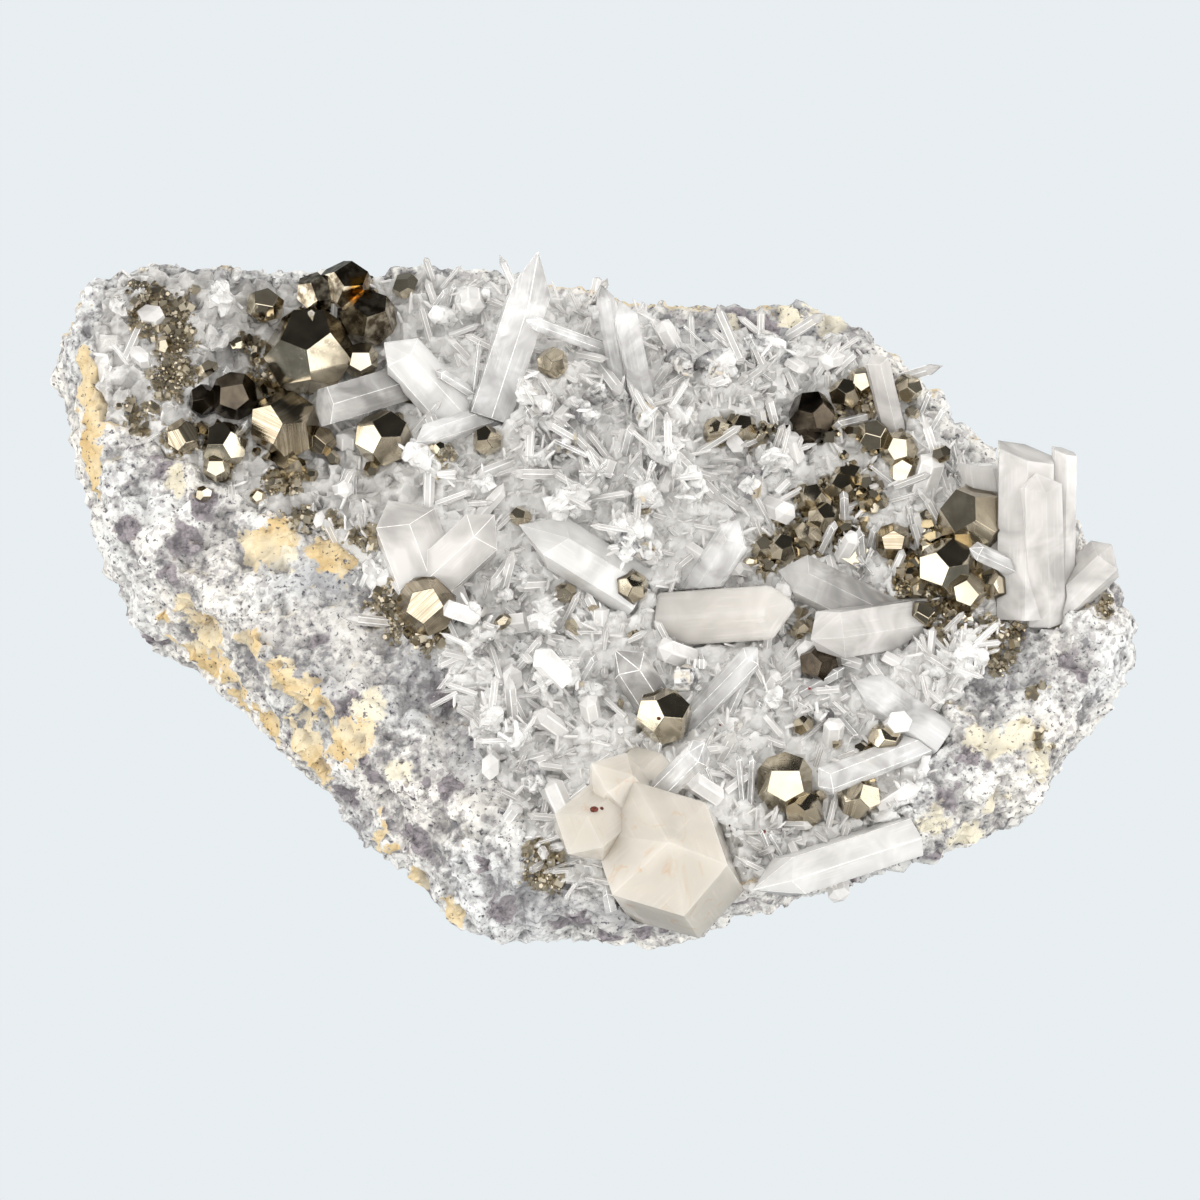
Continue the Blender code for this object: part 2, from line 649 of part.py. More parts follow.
def main():
    clear_scene()
    parts = bpy.data.collections.new("pyrite_with_quartz")
    helpers = bpy.data.collections.new("cutters")
    for home in (parts, helpers):
        bpy.context.scene.collection.children.link(home)
    pyrite = material("pyrite", PYRITE_FINISH)
    quartz = material("quartz", QUARTZ_FINISH)
    rock = material("altered_rock", ROCK_FINISH)
    cutters = []

    def crystal_node(name, crystals, solid_of, finish):
        solids = [new_object(f"{name}_{i}", solid_of(c, 0.0), helpers) for i, c in enumerate(crystals)]
        seats = [
            new_object(f"{name}_seat_{i}", solid_of(c, SEAT_GAP), helpers) for i, c in enumerate(crystals)
        ]
        node = fit_solid(name, solids, list(cutters), helpers, parts)
        node.data.materials.clear()
        node.data.materials.append(finish)
        cutters.extend(seats)

    for name, group in PYRITE_GROUPS.items():
        crystal_node(name, group, pyrite_solid, pyrite)
    for name, group in BIG_QUARTZ.items():
        crystal_node(name, group, quartz_solid, quartz)

    bed = terrain_slab(helpers)
    with_boolean(bed, "INTERSECT", outline_prism("bed_outline", 0.0, helpers))
    small = list(enumerate(druse_crystals()))
    grown_in = [new_object(f"druse_{i}", quartz_solid(c, 0.0), helpers) for i, c in small]
    small_seats = [new_object(f"druse_seat_{i}", quartz_solid(c, SEAT_GAP), helpers) for i, c in small]
    druse = fit_solid("quartz_druse", [bed] + grown_in, cutters, helpers, parts)
    druse.data.materials.clear()
    druse.data.materials.append(quartz)

    pocket = outline_prism("bed_pocket", SEAT_GAP, helpers)
    block = new_object("rock_block", rock_block(), helpers)
    matrix = fit_solid("rock_matrix", [block], cutters + small_seats + [pocket], helpers, parts)
    matrix.data.materials.clear()
    matrix.data.materials.append(rock)

    for helper in list(helpers.objects):
        helper.hide_render = True
        helper.display_type = "WIRE"


main()
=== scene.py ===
"""Looks of a pyrite and quartz specimen, dressed over its solids.

+Z is up out of the crystal-bearing face, +X is the specimen's right, +Y its back. Metres.
"""

import math
import random

import bmesh
import bpy
import numpy as np
from mathutils import Matrix, Vector, noise
from mathutils.bvhtree import BVHTree


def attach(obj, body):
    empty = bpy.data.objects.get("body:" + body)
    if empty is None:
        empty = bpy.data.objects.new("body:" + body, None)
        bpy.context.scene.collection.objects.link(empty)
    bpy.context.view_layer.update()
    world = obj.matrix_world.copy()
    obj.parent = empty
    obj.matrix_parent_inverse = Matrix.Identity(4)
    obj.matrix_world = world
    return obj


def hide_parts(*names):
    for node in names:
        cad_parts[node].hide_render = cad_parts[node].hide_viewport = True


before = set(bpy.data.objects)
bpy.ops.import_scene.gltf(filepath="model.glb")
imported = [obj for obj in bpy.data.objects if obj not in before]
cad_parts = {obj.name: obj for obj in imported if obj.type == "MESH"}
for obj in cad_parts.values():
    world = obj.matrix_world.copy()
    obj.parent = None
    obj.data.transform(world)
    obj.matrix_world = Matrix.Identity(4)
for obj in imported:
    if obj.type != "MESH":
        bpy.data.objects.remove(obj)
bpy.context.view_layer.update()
MM = 0.001


# The picture table: a pale, evenly lit sheet seen from in front and above. Two soft boxes low at
# the sides and one beside the camera light the facets; the dark room behind shows in the pyrite's
# upward faces. A place on the specimen is given as seen, in millimetres right of and above the
# middle of the view.
ELEVATION = math.radians(60)
DISTANCE = 1.0
TARGET = Vector((0, 0, 0.025))
TO_EYE = Vector((0, -math.cos(ELEVATION), math.sin(ELEVATION)))
VIEW_UP = Vector((0, math.sin(ELEVATION), math.cos(ELEVATION)))
EYE = TARGET + TO_EYE * DISTANCE
SHEET_COLOUR = "#E8EEF1"
SHEET_GLOW, SHEET_GLOW_IN_MIRRORS = 0.5, 0.26


def linear(hex_colour):
    """An sRGB hex value as linear red, green, blue and alpha."""
    parts = [int(hex_colour[i : i + 2], 16) / 255 for i in (1, 3, 5)]
    return (*[c / 12.92 if c <= 0.04045 else ((c + 0.055) / 1.055) ** 2.4 for c in parts], 1.0)


def add(tree, kind, inputs=None, **settings):
    """One node with its settings. Each input takes a value, or a link if it is given a socket."""
    made = tree.nodes.new(kind)
    for name, value in settings.items():
        setattr(made, name, value)
    for key, value in (inputs or {}).items():
        if isinstance(value, bpy.types.NodeSocket):
            tree.links.new(value, made.inputs[key])
        else:
            made.inputs[key].default_value = value
    return made


def new_material(name):
    made = bpy.data.materials.new(name)
    made.use_nodes = True
    made.node_tree.nodes.clear()
    return made, made.node_tree


camera = bpy.data.objects.new("camera", bpy.data.cameras.new("camera"))
bpy.context.scene.collection.objects.link(camera)
camera.location = EYE
camera.rotation_mode = "QUATERNION"
camera.rotation_quaternion = (-TO_EYE).to_track_quat("-Z", "Y")
camera.data.sensor_width = 36
camera.data.lens = 180
camera.data.clip_end = 20
bpy.context.scene.camera = camera
bpy.context.scene.view_settings.view_transform = "Standard"


# Each light of the tent: the way it lies in, its half-angle where full and where gone, and its glow.
TENT = (
    ((-0.96, -0.24, 0.10), 24, 36, 2.3),
    ((0.92, -0.36, 0.10), 24, 36, 2.3),
    (tuple(TO_EYE), 10, 18, 1.95),
    ((0.0, 0.10, 1.0), 6, 40, 0.15),
)
ROOM_GLOW, ROOM_FILL = 0.16, 1.15
ROOM_COLOUR = "#FFFEFC"
BACK_WAY, BACK_GLOW = (0, 0.75, 0.66), -0.13

room = bpy.data.worlds.new("light_tent")
room.use_nodes = True
bpy.context.scene.world = room
tree = room.node_tree
tree.nodes.clear()
way = add(tree, "ShaderNodeTexCoord").outputs["Generated"]


def lobe(towards, full, gone, glow):
    """The glow of one soft light over the directions that rays leave in."""
    axis = Vector(towards).normalized()
    facing = add(tree, "ShaderNodeVectorMath", {0: way, 1: axis}, operation="DOT_PRODUCT")
    return add(
        tree,
        "ShaderNodeMapRange",
        {
            0: facing.outputs["Value"],
            1: math.cos(math.radians(gone)),
            2: math.cos(math.radians(full)),
            3: 0.0,
            4: glow,
        },
        interpolation_type="SMOOTHSTEP",
    ).outputs[0]


glow = lobe(BACK_WAY, 30, 60, BACK_GLOW)
for light in TENT:
    glow = add(tree, "ShaderNodeMath", {0: glow, 1: lobe(*light)}, operation="ADD").outputs[0]
glow = add(tree, "ShaderNodeMath", {0: glow, 1: ROOM_GLOW}, operation="ADD").outputs[0]


def mirrored(tree, rays):
    """1 for a ray that a surface mirrors, 0 for one that went through it or was scattered."""
    return add(
        tree,
        "ShaderNodeMath",
        {0: rays.outputs["Is Glossy Ray"], 1: rays.outputs["Is Transmission Ray"]},
        operation="SUBTRACT",
        use_clamp=True,
    ).outputs[0]


rays = add(tree, "ShaderNodeLightPath")
fill = add(tree, "ShaderNodeMath", {0: mirrored(tree, rays), 1: -ROOM_FILL, 2: ROOM_FILL}, operation="MULTIPLY_ADD")
fill = add(tree, "ShaderNodeMath", {0: fill.outputs[0], 1: glow}, operation="ADD")
room_light = add(tree, "ShaderNodeBackground", {0: linear(ROOM_COLOUR), 1: fill.outputs[0]})
backdrop = add(tree, "ShaderNodeBackground", {0: linear(SHEET_COLOUR), 1: 1.0})
shown = add(
    tree, "ShaderNodeMixShader", {0: rays.outputs["Is Camera Ray"], 1: room_light.outputs[0], 2: backdrop.outputs[0]}
)
add(tree, "ShaderNodeOutputWorld", {0: shown.outputs[0]})

bm = bmesh.new()
bmesh.ops.create_circle(bm, cap_ends=True, segments=96, radius=3.0)
bmesh.ops.translate(bm, verts=bm.verts, vec=(0, 0, -0.0004))
sheet_mesh = bpy.data.meshes.new("picture_sheet")
bm.to_mesh(sheet_mesh)
bm.free()
sheet = bpy.data.objects.new("picture_sheet", sheet_mesh)
bpy.context.scene.collection.objects.link(sheet)
paper, tree = new_material("lit_paper")
rays = add(tree, "ShaderNodeLightPath")
seen = add(tree, "ShaderNodeEmission", {0: linear(SHEET_COLOUR), 1: 1.0})
glow = add(
    tree,
    "ShaderNodeMapRange",
    {0: mirrored(tree, rays), 1: 0.0, 2: 1.0, 3: SHEET_GLOW, 4: SHEET_GLOW_IN_MIRRORS},
)
on_pieces = add(tree, "ShaderNodeEmission", {0: linear(SHEET_COLOUR), 1: glow.outputs[0]})
shown = add(
    tree, "ShaderNodeMixShader", {0: rays.outputs["Is Camera Ray"], 1: on_pieces.outputs[0], 2: seen.outputs[0]}
)
add(tree, "ShaderNodeOutputMaterial", {0: shown.outputs[0]})
sheet.data.materials.append(paper)


# The rock: one broken slab of altered, silica-soaked rock, white to grey and granular as sugar,
# with purple-grey lumps, dark specks and ochre clay in its hollows. It was broken from a vein, so
# every side but the flat underside is rough.
ROCK_GRID = 0.75 * MM
LUMP_SIZE, LUMP_HEIGHT = 9.0 * MM, 4.6 * MM
CHUNK_SIZE, CHUNK_HEIGHT = 5.0 * MM, 1.7 * MM
GRAIN_SIZE, GRAIN_HEIGHT = 1.9 * MM, 0.8 * MM
FACET_SIZE, FACET_TILT = 3.4 * MM, 0.65
SUNK_UNDER_BED = 2.0 * MM
FLAT_BELOW, ROUGH_ABOVE = 0.4 * MM, 3.0 * MM
RAGGED_SIZE, RAGGED_REACH = 3.0 * MM, 2.6 * MM
# Patches as seen: right of the middle, above it, and radius, in millimetres.
CLAY = (
    (-69.2, -1.2, 2.0), (-72.2, -2.8, 1.6), (-65.3, -5.3, 3.5), (-65.0, -10.5, 3.5), (-61.2, -13.0, 3.0),
    (-58.5, -7.5, 2.2), (-59.3, -17.3, 2.2), (-53.5, -12.7, 2.7), (-50.5, -15.5, 3.0), (-46.2, -17.7, 2.2),
    (-55.5, -20.2, 2.7), (-49.7, -20.7, 2.4), (-49.2, -24.0, 3.2), (-47.5, -28.3, 3.2), (-43.7, -23.7, 3.0),
    (-41.2, -23.2, 3.2), (-56.5, 9.2, 3.2), (-53.5, 10.8, 2.7), (-44.2, 7.8, 3.5), (-36.0, -37.7, 1.6),
    (-36.0, -41.0, 2.0), (-30.5, -47.0, 2.2), (-25.0, -51.3, 2.4), (-86.0, 38.0, 3.5), (-85.5, 32.0, 4.1),
    (-85.0, 26.0, 3.5), (-84.5, 21.0, 3.0), (-69.0, -8.0, 2.2),
)
CREAM_ROCK = (
    (-52.2, 7.0, 2.2), (-33.8, -28.3, 2.6), (-38.2, -18.2, 3.0), (70.5, -23.0, 3.4), (73.8, -27.3, 3.0),
    (66.7, -24.0, 2.6), (55.2, -37.2, 3.2), (60.3, -39.7, 3.0), (62.3, -23.0, 2.4), (66.0, -33.0, 2.2),
    (38.0, 47.5, 3.5), (31.0, 47.0, 2.4), (22.0, 46.5, 2.0), (44.0, 45.5, 2.0), (-70.0, 20.0, 2.2),
)
LUMPS = (
    (-71.7, 4.0, 2.6), (-73.8, -7.0, 2.6), (-79.3, 11.2, 2.6), (-42.0, -17.7, 2.8), (-39.0, -27.8, 2.8),
    (-42.0, -33.0, 3.2), (-31.7, -39.8, 3.2), (-34.7, -37.3, 1.8), (-47.5, -6.7, 2.2), (-25.3, -30.8, 2.2),
    (-30.8, -31.7, 1.6), (-69.0, 10.5, 3.0), (-52.5, -22.0, 1.5), (-26.2, -16.5, 2.4), (79.3, -11.0, 2.6),
    (62.0, -25.7, 2.4), (57.8, -32.5, 2.8), (-73.0, 22.0, 2.6), (-66.0, 16.5, 2.6), (23.0, 47.0, 3.0),
    (28.0, 44.5, 2.4), (-17.0, -52.0, 2.4), (-76.0, 30.0, 2.0), (-20.0, -44.5, 2.0), (2.0, -55.5, 2.2),
    (8.0, -56.0, 2.2), (13.0, -54.0, 2.4), (19.0, -52.0, 2.2), (24.0, -50.5, 2.0), (-3.0, -53.5, 2.4),
    (-8.0, -54.0, 2.2), (42.0, -46.0, 1.8), (48.0, -44.5, 2.0), (56.0, -42.5, 2.0), (63.0, -40.5, 2.0),
)
# Painted shade: patches, as seen, where the rock is coloured darker grey: right of the middle, above it, and radius, in
# millimetres.
SHADE_PATCHES = (
    (-18.0, -22.0, 9.0), (-30.0, -12.0, 8.0), (-50.0, -11.0, 8.0), (-45.0, 3.0, 6.0), (66.0, -8.0, 8.0), (-10.0, -50.0, 7.0),
    (4.0, -53.0, 6.0), (16.0, -51.0, 5.0), (45.0, -44.0, 4.0), (54.0, -42.5, 4.0), (62.0, -41.0, 4.0),
    (20.0, 46.0, 8.0), (34.0, 45.0, 8.0),
)

# Where fine pyrite coats the ground, and where larger grains fill its hollows.
CRUSTS = (
    (-73.3, 48.0, 4.2), (-70.8, 44.2, 3.0), (-76.7, 52.5, 2.2), (-70.8, 37.0, 3.6), (-77.0, 31.3, 2.4),
    (-69.5, 26.7, 2.6), (-58.0, 42.2, 1.8), (-49.7, 14.2, 2.2), (-45.0, 13.3, 1.2), (-39.7, 9.7, 2.0),
    (-35.2, -1.2, 3.2), (-31.0, -4.3, 3.0), (-28.0, -6.3, 2.0), (-9.2, -45.0, 3.0), (-10.0, -41.7, 1.8),
    (64.2, -5.8, 3.2), (66.7, -9.2, 2.2), (77.3, -1.8, 2.4), (83.3, -0.5, 1.6), (74.5, -23.0, 1.0),
    (74.8, -25.5, 0.9), (73.8, -14.7, 1.4), (19.7, 27.3, 2.0), (38.0, 15.0, 4.0), (32.0, 8.0, 3.0),
    (48.0, 26.0, 2.6), (44.0, 33.0, 2.4), (54.0, 2.0, 4.0), (58.0, 8.0, 3.0), (-52.0, 21.0, 3.0),
    (-56.0, 36.0, 3.0), (-62.0, 24.0, 2.4), (70.0, -4.0, 2.0), (57.0, -5.0, 2.4),
    (24.0, 26.0, 2.0), (34.0, -4.0, 2.0), (-26.0, 24.0, 1.6), (28.0, -31.0, 1.6), (62.0, 15.0, 2.0),
)
HOLLOWS = (
    (20.0, 27.0, 2.5), (28.0, 29.0, 2.5), (34.0, 29.0, 3.0), (41.0, 30.0, 3.0), (47.0, 27.0, 3.5), (43.0, 35.0, 2.5),
    (37.0, 15.0, 4.0), (33.0, 9.0, 3.5), (28.0, 7.0, 2.5), (41.0, 11.0, 3.0), (55.0, 9.0, 4.0), (53.0, 2.0, 4.0),
    (58.0, 0.0, 3.0), (62.0, 7.0, 3.5), (50.0, 23.0, 2.5), (45.0, 17.0, 2.5), (35.0, -5.0, 2.5), (-53.0, 23.0, 2.6),
    (-47.0, 36.0, 3.5), (-55.0, 34.0, 3.0), (-62.0, 27.0, 3.0), (42.0, 21.0, 2.0),
    (-40.0, 50.0, 4.0), (-47.0, 45.0, 3.5), (-33.0, 34.0, 2.0), (31.0, -33.0, 2.0), (43.0, -28.0, 2.0),
)

carriers = bmesh.new()
for carrier in ("rock_matrix", "quartz_druse"):
    carriers.from_mesh(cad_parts[carrier].data)
ground = BVHTree.FromBMesh(carriers)
carriers.free()


def seen(across, up, on=ground):
    """The point of the ground, and its normal, that shows at this place of the view."""
    mark = TARGET + Vector((across * MM, 0, 0)) + VIEW_UP * (up * MM)
    point, normal, _, _ = on.ray_cast(EYE, (mark - EYE).normalized())
    return point, normal


def warped(mesh, size, reach):
    """The places of a mesh's vertices, each pushed about by noise, so that what is painted by them
    has a ragged outline."""
    return np.array([v.co + noise.noise_vector(v.co / size) * reach for v in mesh.vertices], np.float32)


def paint(mesh, places, name, patches, soft=1.6):
    """A vertex attribute, 1 inside the patches and falling to 0 at soft times their radius."""
    spots = [(seen(across, up)[0], radius * MM) for across, up, radius in patches]
    level = np.zeros(len(places), np.float32)
    for point, radius in spots:
        if point is None:
            continue
        far = np.linalg.norm(places - np.array(point, np.float32), axis=1) / radius
        level = np.maximum(level, np.clip((soft - far) / (soft - 0.4), 0, 1))
    mesh.attributes.new(name, "FLOAT", "POINT").data.foreach_set("value", level)


def merged_copy(*nodes):
    """One object with the CAD nodes' meshes, their loose triangles joined."""
    bm = bmesh.new()
    for node in nodes:
        bm.from_mesh(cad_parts[node].data)
    bmesh.ops.remove_doubles(bm, verts=bm.verts, dist=0.002 * MM)
    mesh = bpy.data.meshes.new(nodes[0] + "_dressed")
    bm.to_mesh(mesh)
    bm.free()
    made = bpy.data.objects.new(nodes[0] + "_dressed", mesh)
    bpy.context.scene.collection.objects.link(made)
    return made


def new_geometry_tree(name, numbers):
    """A Geometry Nodes tree with a geometry socket each way and a named input for each number."""
    tree = bpy.data.node_groups.new(name, "GeometryNodeTree")
    tree.interface.new_socket("Geometry", in_out="INPUT", socket_type="NodeSocketGeometry")
    for label, value in numbers.items():
        kind = "NodeSocketInt" if isinstance(value, int) else "NodeSocketFloat"
        tree.interface.new_socket(label, in_out="INPUT", socket_type=kind).default_value = value
    tree.interface.new_socket("Geometry", in_out="OUTPUT", socket_type="NodeSocketGeometry")
    return tree, tree.nodes.new("NodeGroupInput").outputs


def run_geometry(made, tree, **numbers):
    """Gives the object the tree as a modifier, with its named inputs set."""
    grown = made.modifiers.new(tree.name, "NODES")
    grown.node_group = tree
    for item in tree.interface.items_tree:
        if item.in_out == "INPUT" and item.name in numbers:
            grown[item.identifier] = numbers[item.name]
    return grown


def finished(made):
    """The object with its modifiers turned into plain mesh."""
    bpy.context.view_layer.update()
    graph = bpy.context.evaluated_depsgraph_get()
    mesh = bpy.data.meshes.new_from_object(made.evaluated_get(graph), preserve_all_data_layers=True, depsgraph=graph)
    made.modifiers.clear()
    made.data = mesh
    return made


def show_on_root(made, slot, *nodes):
    """Hangs a finished piece on the specimen's one body, in place of the CAD nodes it dresses."""
    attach(made, "root")
    if nodes:
        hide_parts(*nodes)


def tilted_facets(tree, place, scale):
    """The height over a surface of flat facets, one in each cell, each tilted its own way."""
    cells = add(tree, "ShaderNodeTexVoronoi", {0: place, "Scale": scale})
    tilt = add(tree, "ShaderNodeVectorMath", {0: cells.outputs["Color"], 1: (0.5, 0.5, 0.5)}, operation="SUBTRACT")
    apart = add(tree, "ShaderNodeVectorMath", {0: place, 1: cells.outputs["Position"]}, operation="SUBTRACT")
    return add(
        tree, "ShaderNodeVectorMath", {0: apart.outputs[0], 1: tilt.outputs[0]}, operation="DOT_PRODUCT"
    ).outputs["Value"]


def relief_tree():
    """Pushes a surface in and out by broad lumps, by packed grains and by tilted facets, but leaves
    its base flat."""
    tree, given = new_geometry_tree(
        "broken_relief",
        {
            "Lump Size": 7 * MM,
            "Lump Height": 1 * MM,
            "Chunk Size": 5 * MM,
            "Chunk Height": 1 * MM,
            "Grain Size": 2 * MM,
            "Grain Height": 0.5 * MM,
            "Facet Size": 3 * MM,
            "Facet Tilt": 0.5,
        },
    )
    place = add(tree, "GeometryNodeInputPosition").outputs[0]
    lump_scale = add(tree, "ShaderNodeMath", {0: 1.0, 1: given["Lump Size"]}, operation="DIVIDE")
    lumps = add(tree, "ShaderNodeTexNoise", {0: place, "Scale": lump_scale.outputs[0], "Detail": 4.0, "Roughness": 0.6})
    lump = add(tree, "ShaderNodeMath", {0: lumps.outputs[0], 1: -0.5}, operation="ADD")
    lump = add(tree, "ShaderNodeMath", {0: lump.outputs[0], 1: given["Lump Height"]}, operation="MULTIPLY")
    grain_scale = add(tree, "ShaderNodeMath", {0: 1.0, 1: given["Grain Size"]}, operation="DIVIDE")
    grains = add(tree, "ShaderNodeTexVoronoi", {0: place, "Scale": grain_scale.outputs[0]})
    grain = add(tree, "ShaderNodeMath", {0: 0.5, 1: grains.outputs[0]}, operation="SUBTRACT")
    chunk_scale = add(tree, "ShaderNodeMath", {0: 1.0, 1: given["Chunk Size"]}, operation="DIVIDE")
    chunks = add(tree, "ShaderNodeTexVoronoi", {0: place, "Scale": chunk_scale.outputs[0]})
    chunk = add(tree, "ShaderNodeMath", {0: 0.45, 1: chunks.outputs[0]}, operation="SUBTRACT")
    push = add(
        tree,
        "ShaderNodeMath",
        {0: chunk.outputs[0], 1: given["Chunk Height"], 2: lump.outputs[0]},
        operation="MULTIPLY_ADD",
    )
    push = add(
        tree,
        "ShaderNodeMath",
        {0: grain.outputs[0], 1: given["Grain Height"], 2: push.outputs[0]},
        operation="MULTIPLY_ADD",
    )
    facet_scale = add(tree, "ShaderNodeMath", {0: 1.0, 1: given["Facet Size"]}, operation="DIVIDE").outputs[0]
    facet = tilted_facets(tree, place, facet_scale)
    push = add(
        tree, "ShaderNodeMath", {0: facet, 1: given["Facet Tilt"], 2: push.outputs[0]}, operation="MULTIPLY_ADD"
    )
    relief = add(tree, "ShaderNodeMath", {0: push.outputs[0], 1: MM}, operation="DIVIDE").outputs[0]
    height = add(tree, "ShaderNodeSeparateXYZ", {0: place}).outputs["Z"]
    off_base = add(tree, "ShaderNodeMapRange", {0: height, 1: FLAT_BELOW, 2: ROUGH_ABOVE, 3: 0.0, 4: 1.0})
    push = add(tree, "ShaderNodeMath", {0: push.outputs[0], 1: off_base.outputs[0]}, operation="MULTIPLY")
    covered = add(tree, "GeometryNodeInputNamedAttribute", {0: "covered"}).outputs[0]
    push = add(
        tree, "ShaderNodeMath", {0: covered, 1: -SUNK_UNDER_BED, 2: push.outputs[0]}, operation="MULTIPLY_ADD"
    )
    out_way = add(tree, "GeometryNodeInputNormal").outputs[0]
    offset = add(tree, "ShaderNodeVectorMath", {0: out_way, 3: push.outputs[0]}, operation="SCALE")
    marked = add(
        tree,
        "GeometryNodeStoreNamedAttribute",
        {"Geometry": given["Geometry"], "Name": "relief", "Value": relief},
        data_type="FLOAT",
        domain="POINT",
    ).outputs[0]
    moved = add(tree, "GeometryNodeSetPosition", {"Geometry": marked, "Offset": offset.outputs[0]})
    add(tree, "NodeGroupOutput", {0: moved.outputs[0]})
    return tree


def clearance(mesh, name, nodes, reach, curve):
    """A vertex attribute, 0 against the given CAD nodes and 1 from the reach on."""
    others = bmesh.new()
    for node in nodes:
        others.from_mesh(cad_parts[node].data)
    tree = BVHTree.FromBMesh(others)
    others.free()
    level = []
    for vertex in mesh.vertices:
        distance = tree.find_nearest(vertex.co, reach)[3]
        level.append(1.0 if distance is None else (distance / reach) ** curve)
    mesh.attributes.new(name, "FLOAT", "POINT").data.foreach_set("value", level)


broken_relief = relief_tree()
rock = merged_copy("rock_matrix", "quartz_druse")
even = rock.modifiers.new("even_grid", "REMESH")
even.mode = "VOXEL"
even.voxel_size = ROCK_GRID
rounded = rock.modifiers.new("rounded_breaks", "SMOOTH")
rounded.factor = 0.5
rounded.iterations = 5
finished(rock)
clearance(rock.data, "covered", ["rock_matrix"], 2.5 * MM, 1)
run_geometry(
    rock,
    broken_relief,
    **{
        "Lump Size": LUMP_SIZE,
        "Lump Height": LUMP_HEIGHT,
        "Chunk Size": CHUNK_SIZE,
        "Chunk Height": CHUNK_HEIGHT,
        "Grain Size": GRAIN_SIZE,
        "Grain Height": GRAIN_HEIGHT,
        "Facet Size": FACET_SIZE,
        "Facet Tilt": FACET_TILT,
    },
)
finished(rock)
ragged = warped(rock.data, RAGGED_SIZE, RAGGED_REACH)
for name, patches in (("clay", CLAY), ("cream", CREAM_ROCK), ("lumps", LUMPS), ("dim", SHADE_PATCHES)):
    paint(rock.data, ragged, name, patches)
behind = [min(1.0, max(0.0, 3.0 * v.normal.y - 0.6)) for v in rock.data.vertices]
rock.data.attributes.new("behind", "FLOAT", "POINT").data.foreach_set("value", behind)


def mix(tree, amount, under, over):
    """The colour under, covered by the colour over where the amount is 1."""
    return add(
        tree, "ShaderNodeMix", {"Factor": amount, 6: under, 7: over}, data_type="RGBA", blend_type="MIX"
    ).outputs[2]


def ramp(tree, level, low, high, out_low=0.0, out_high=1.0):
    """The level stretched from low..high to out_low..out_high."""
    return add(tree, "ShaderNodeMapRange", {0: level, 1: low, 2: high, 3: out_low, 4: out_high}).outputs[0]


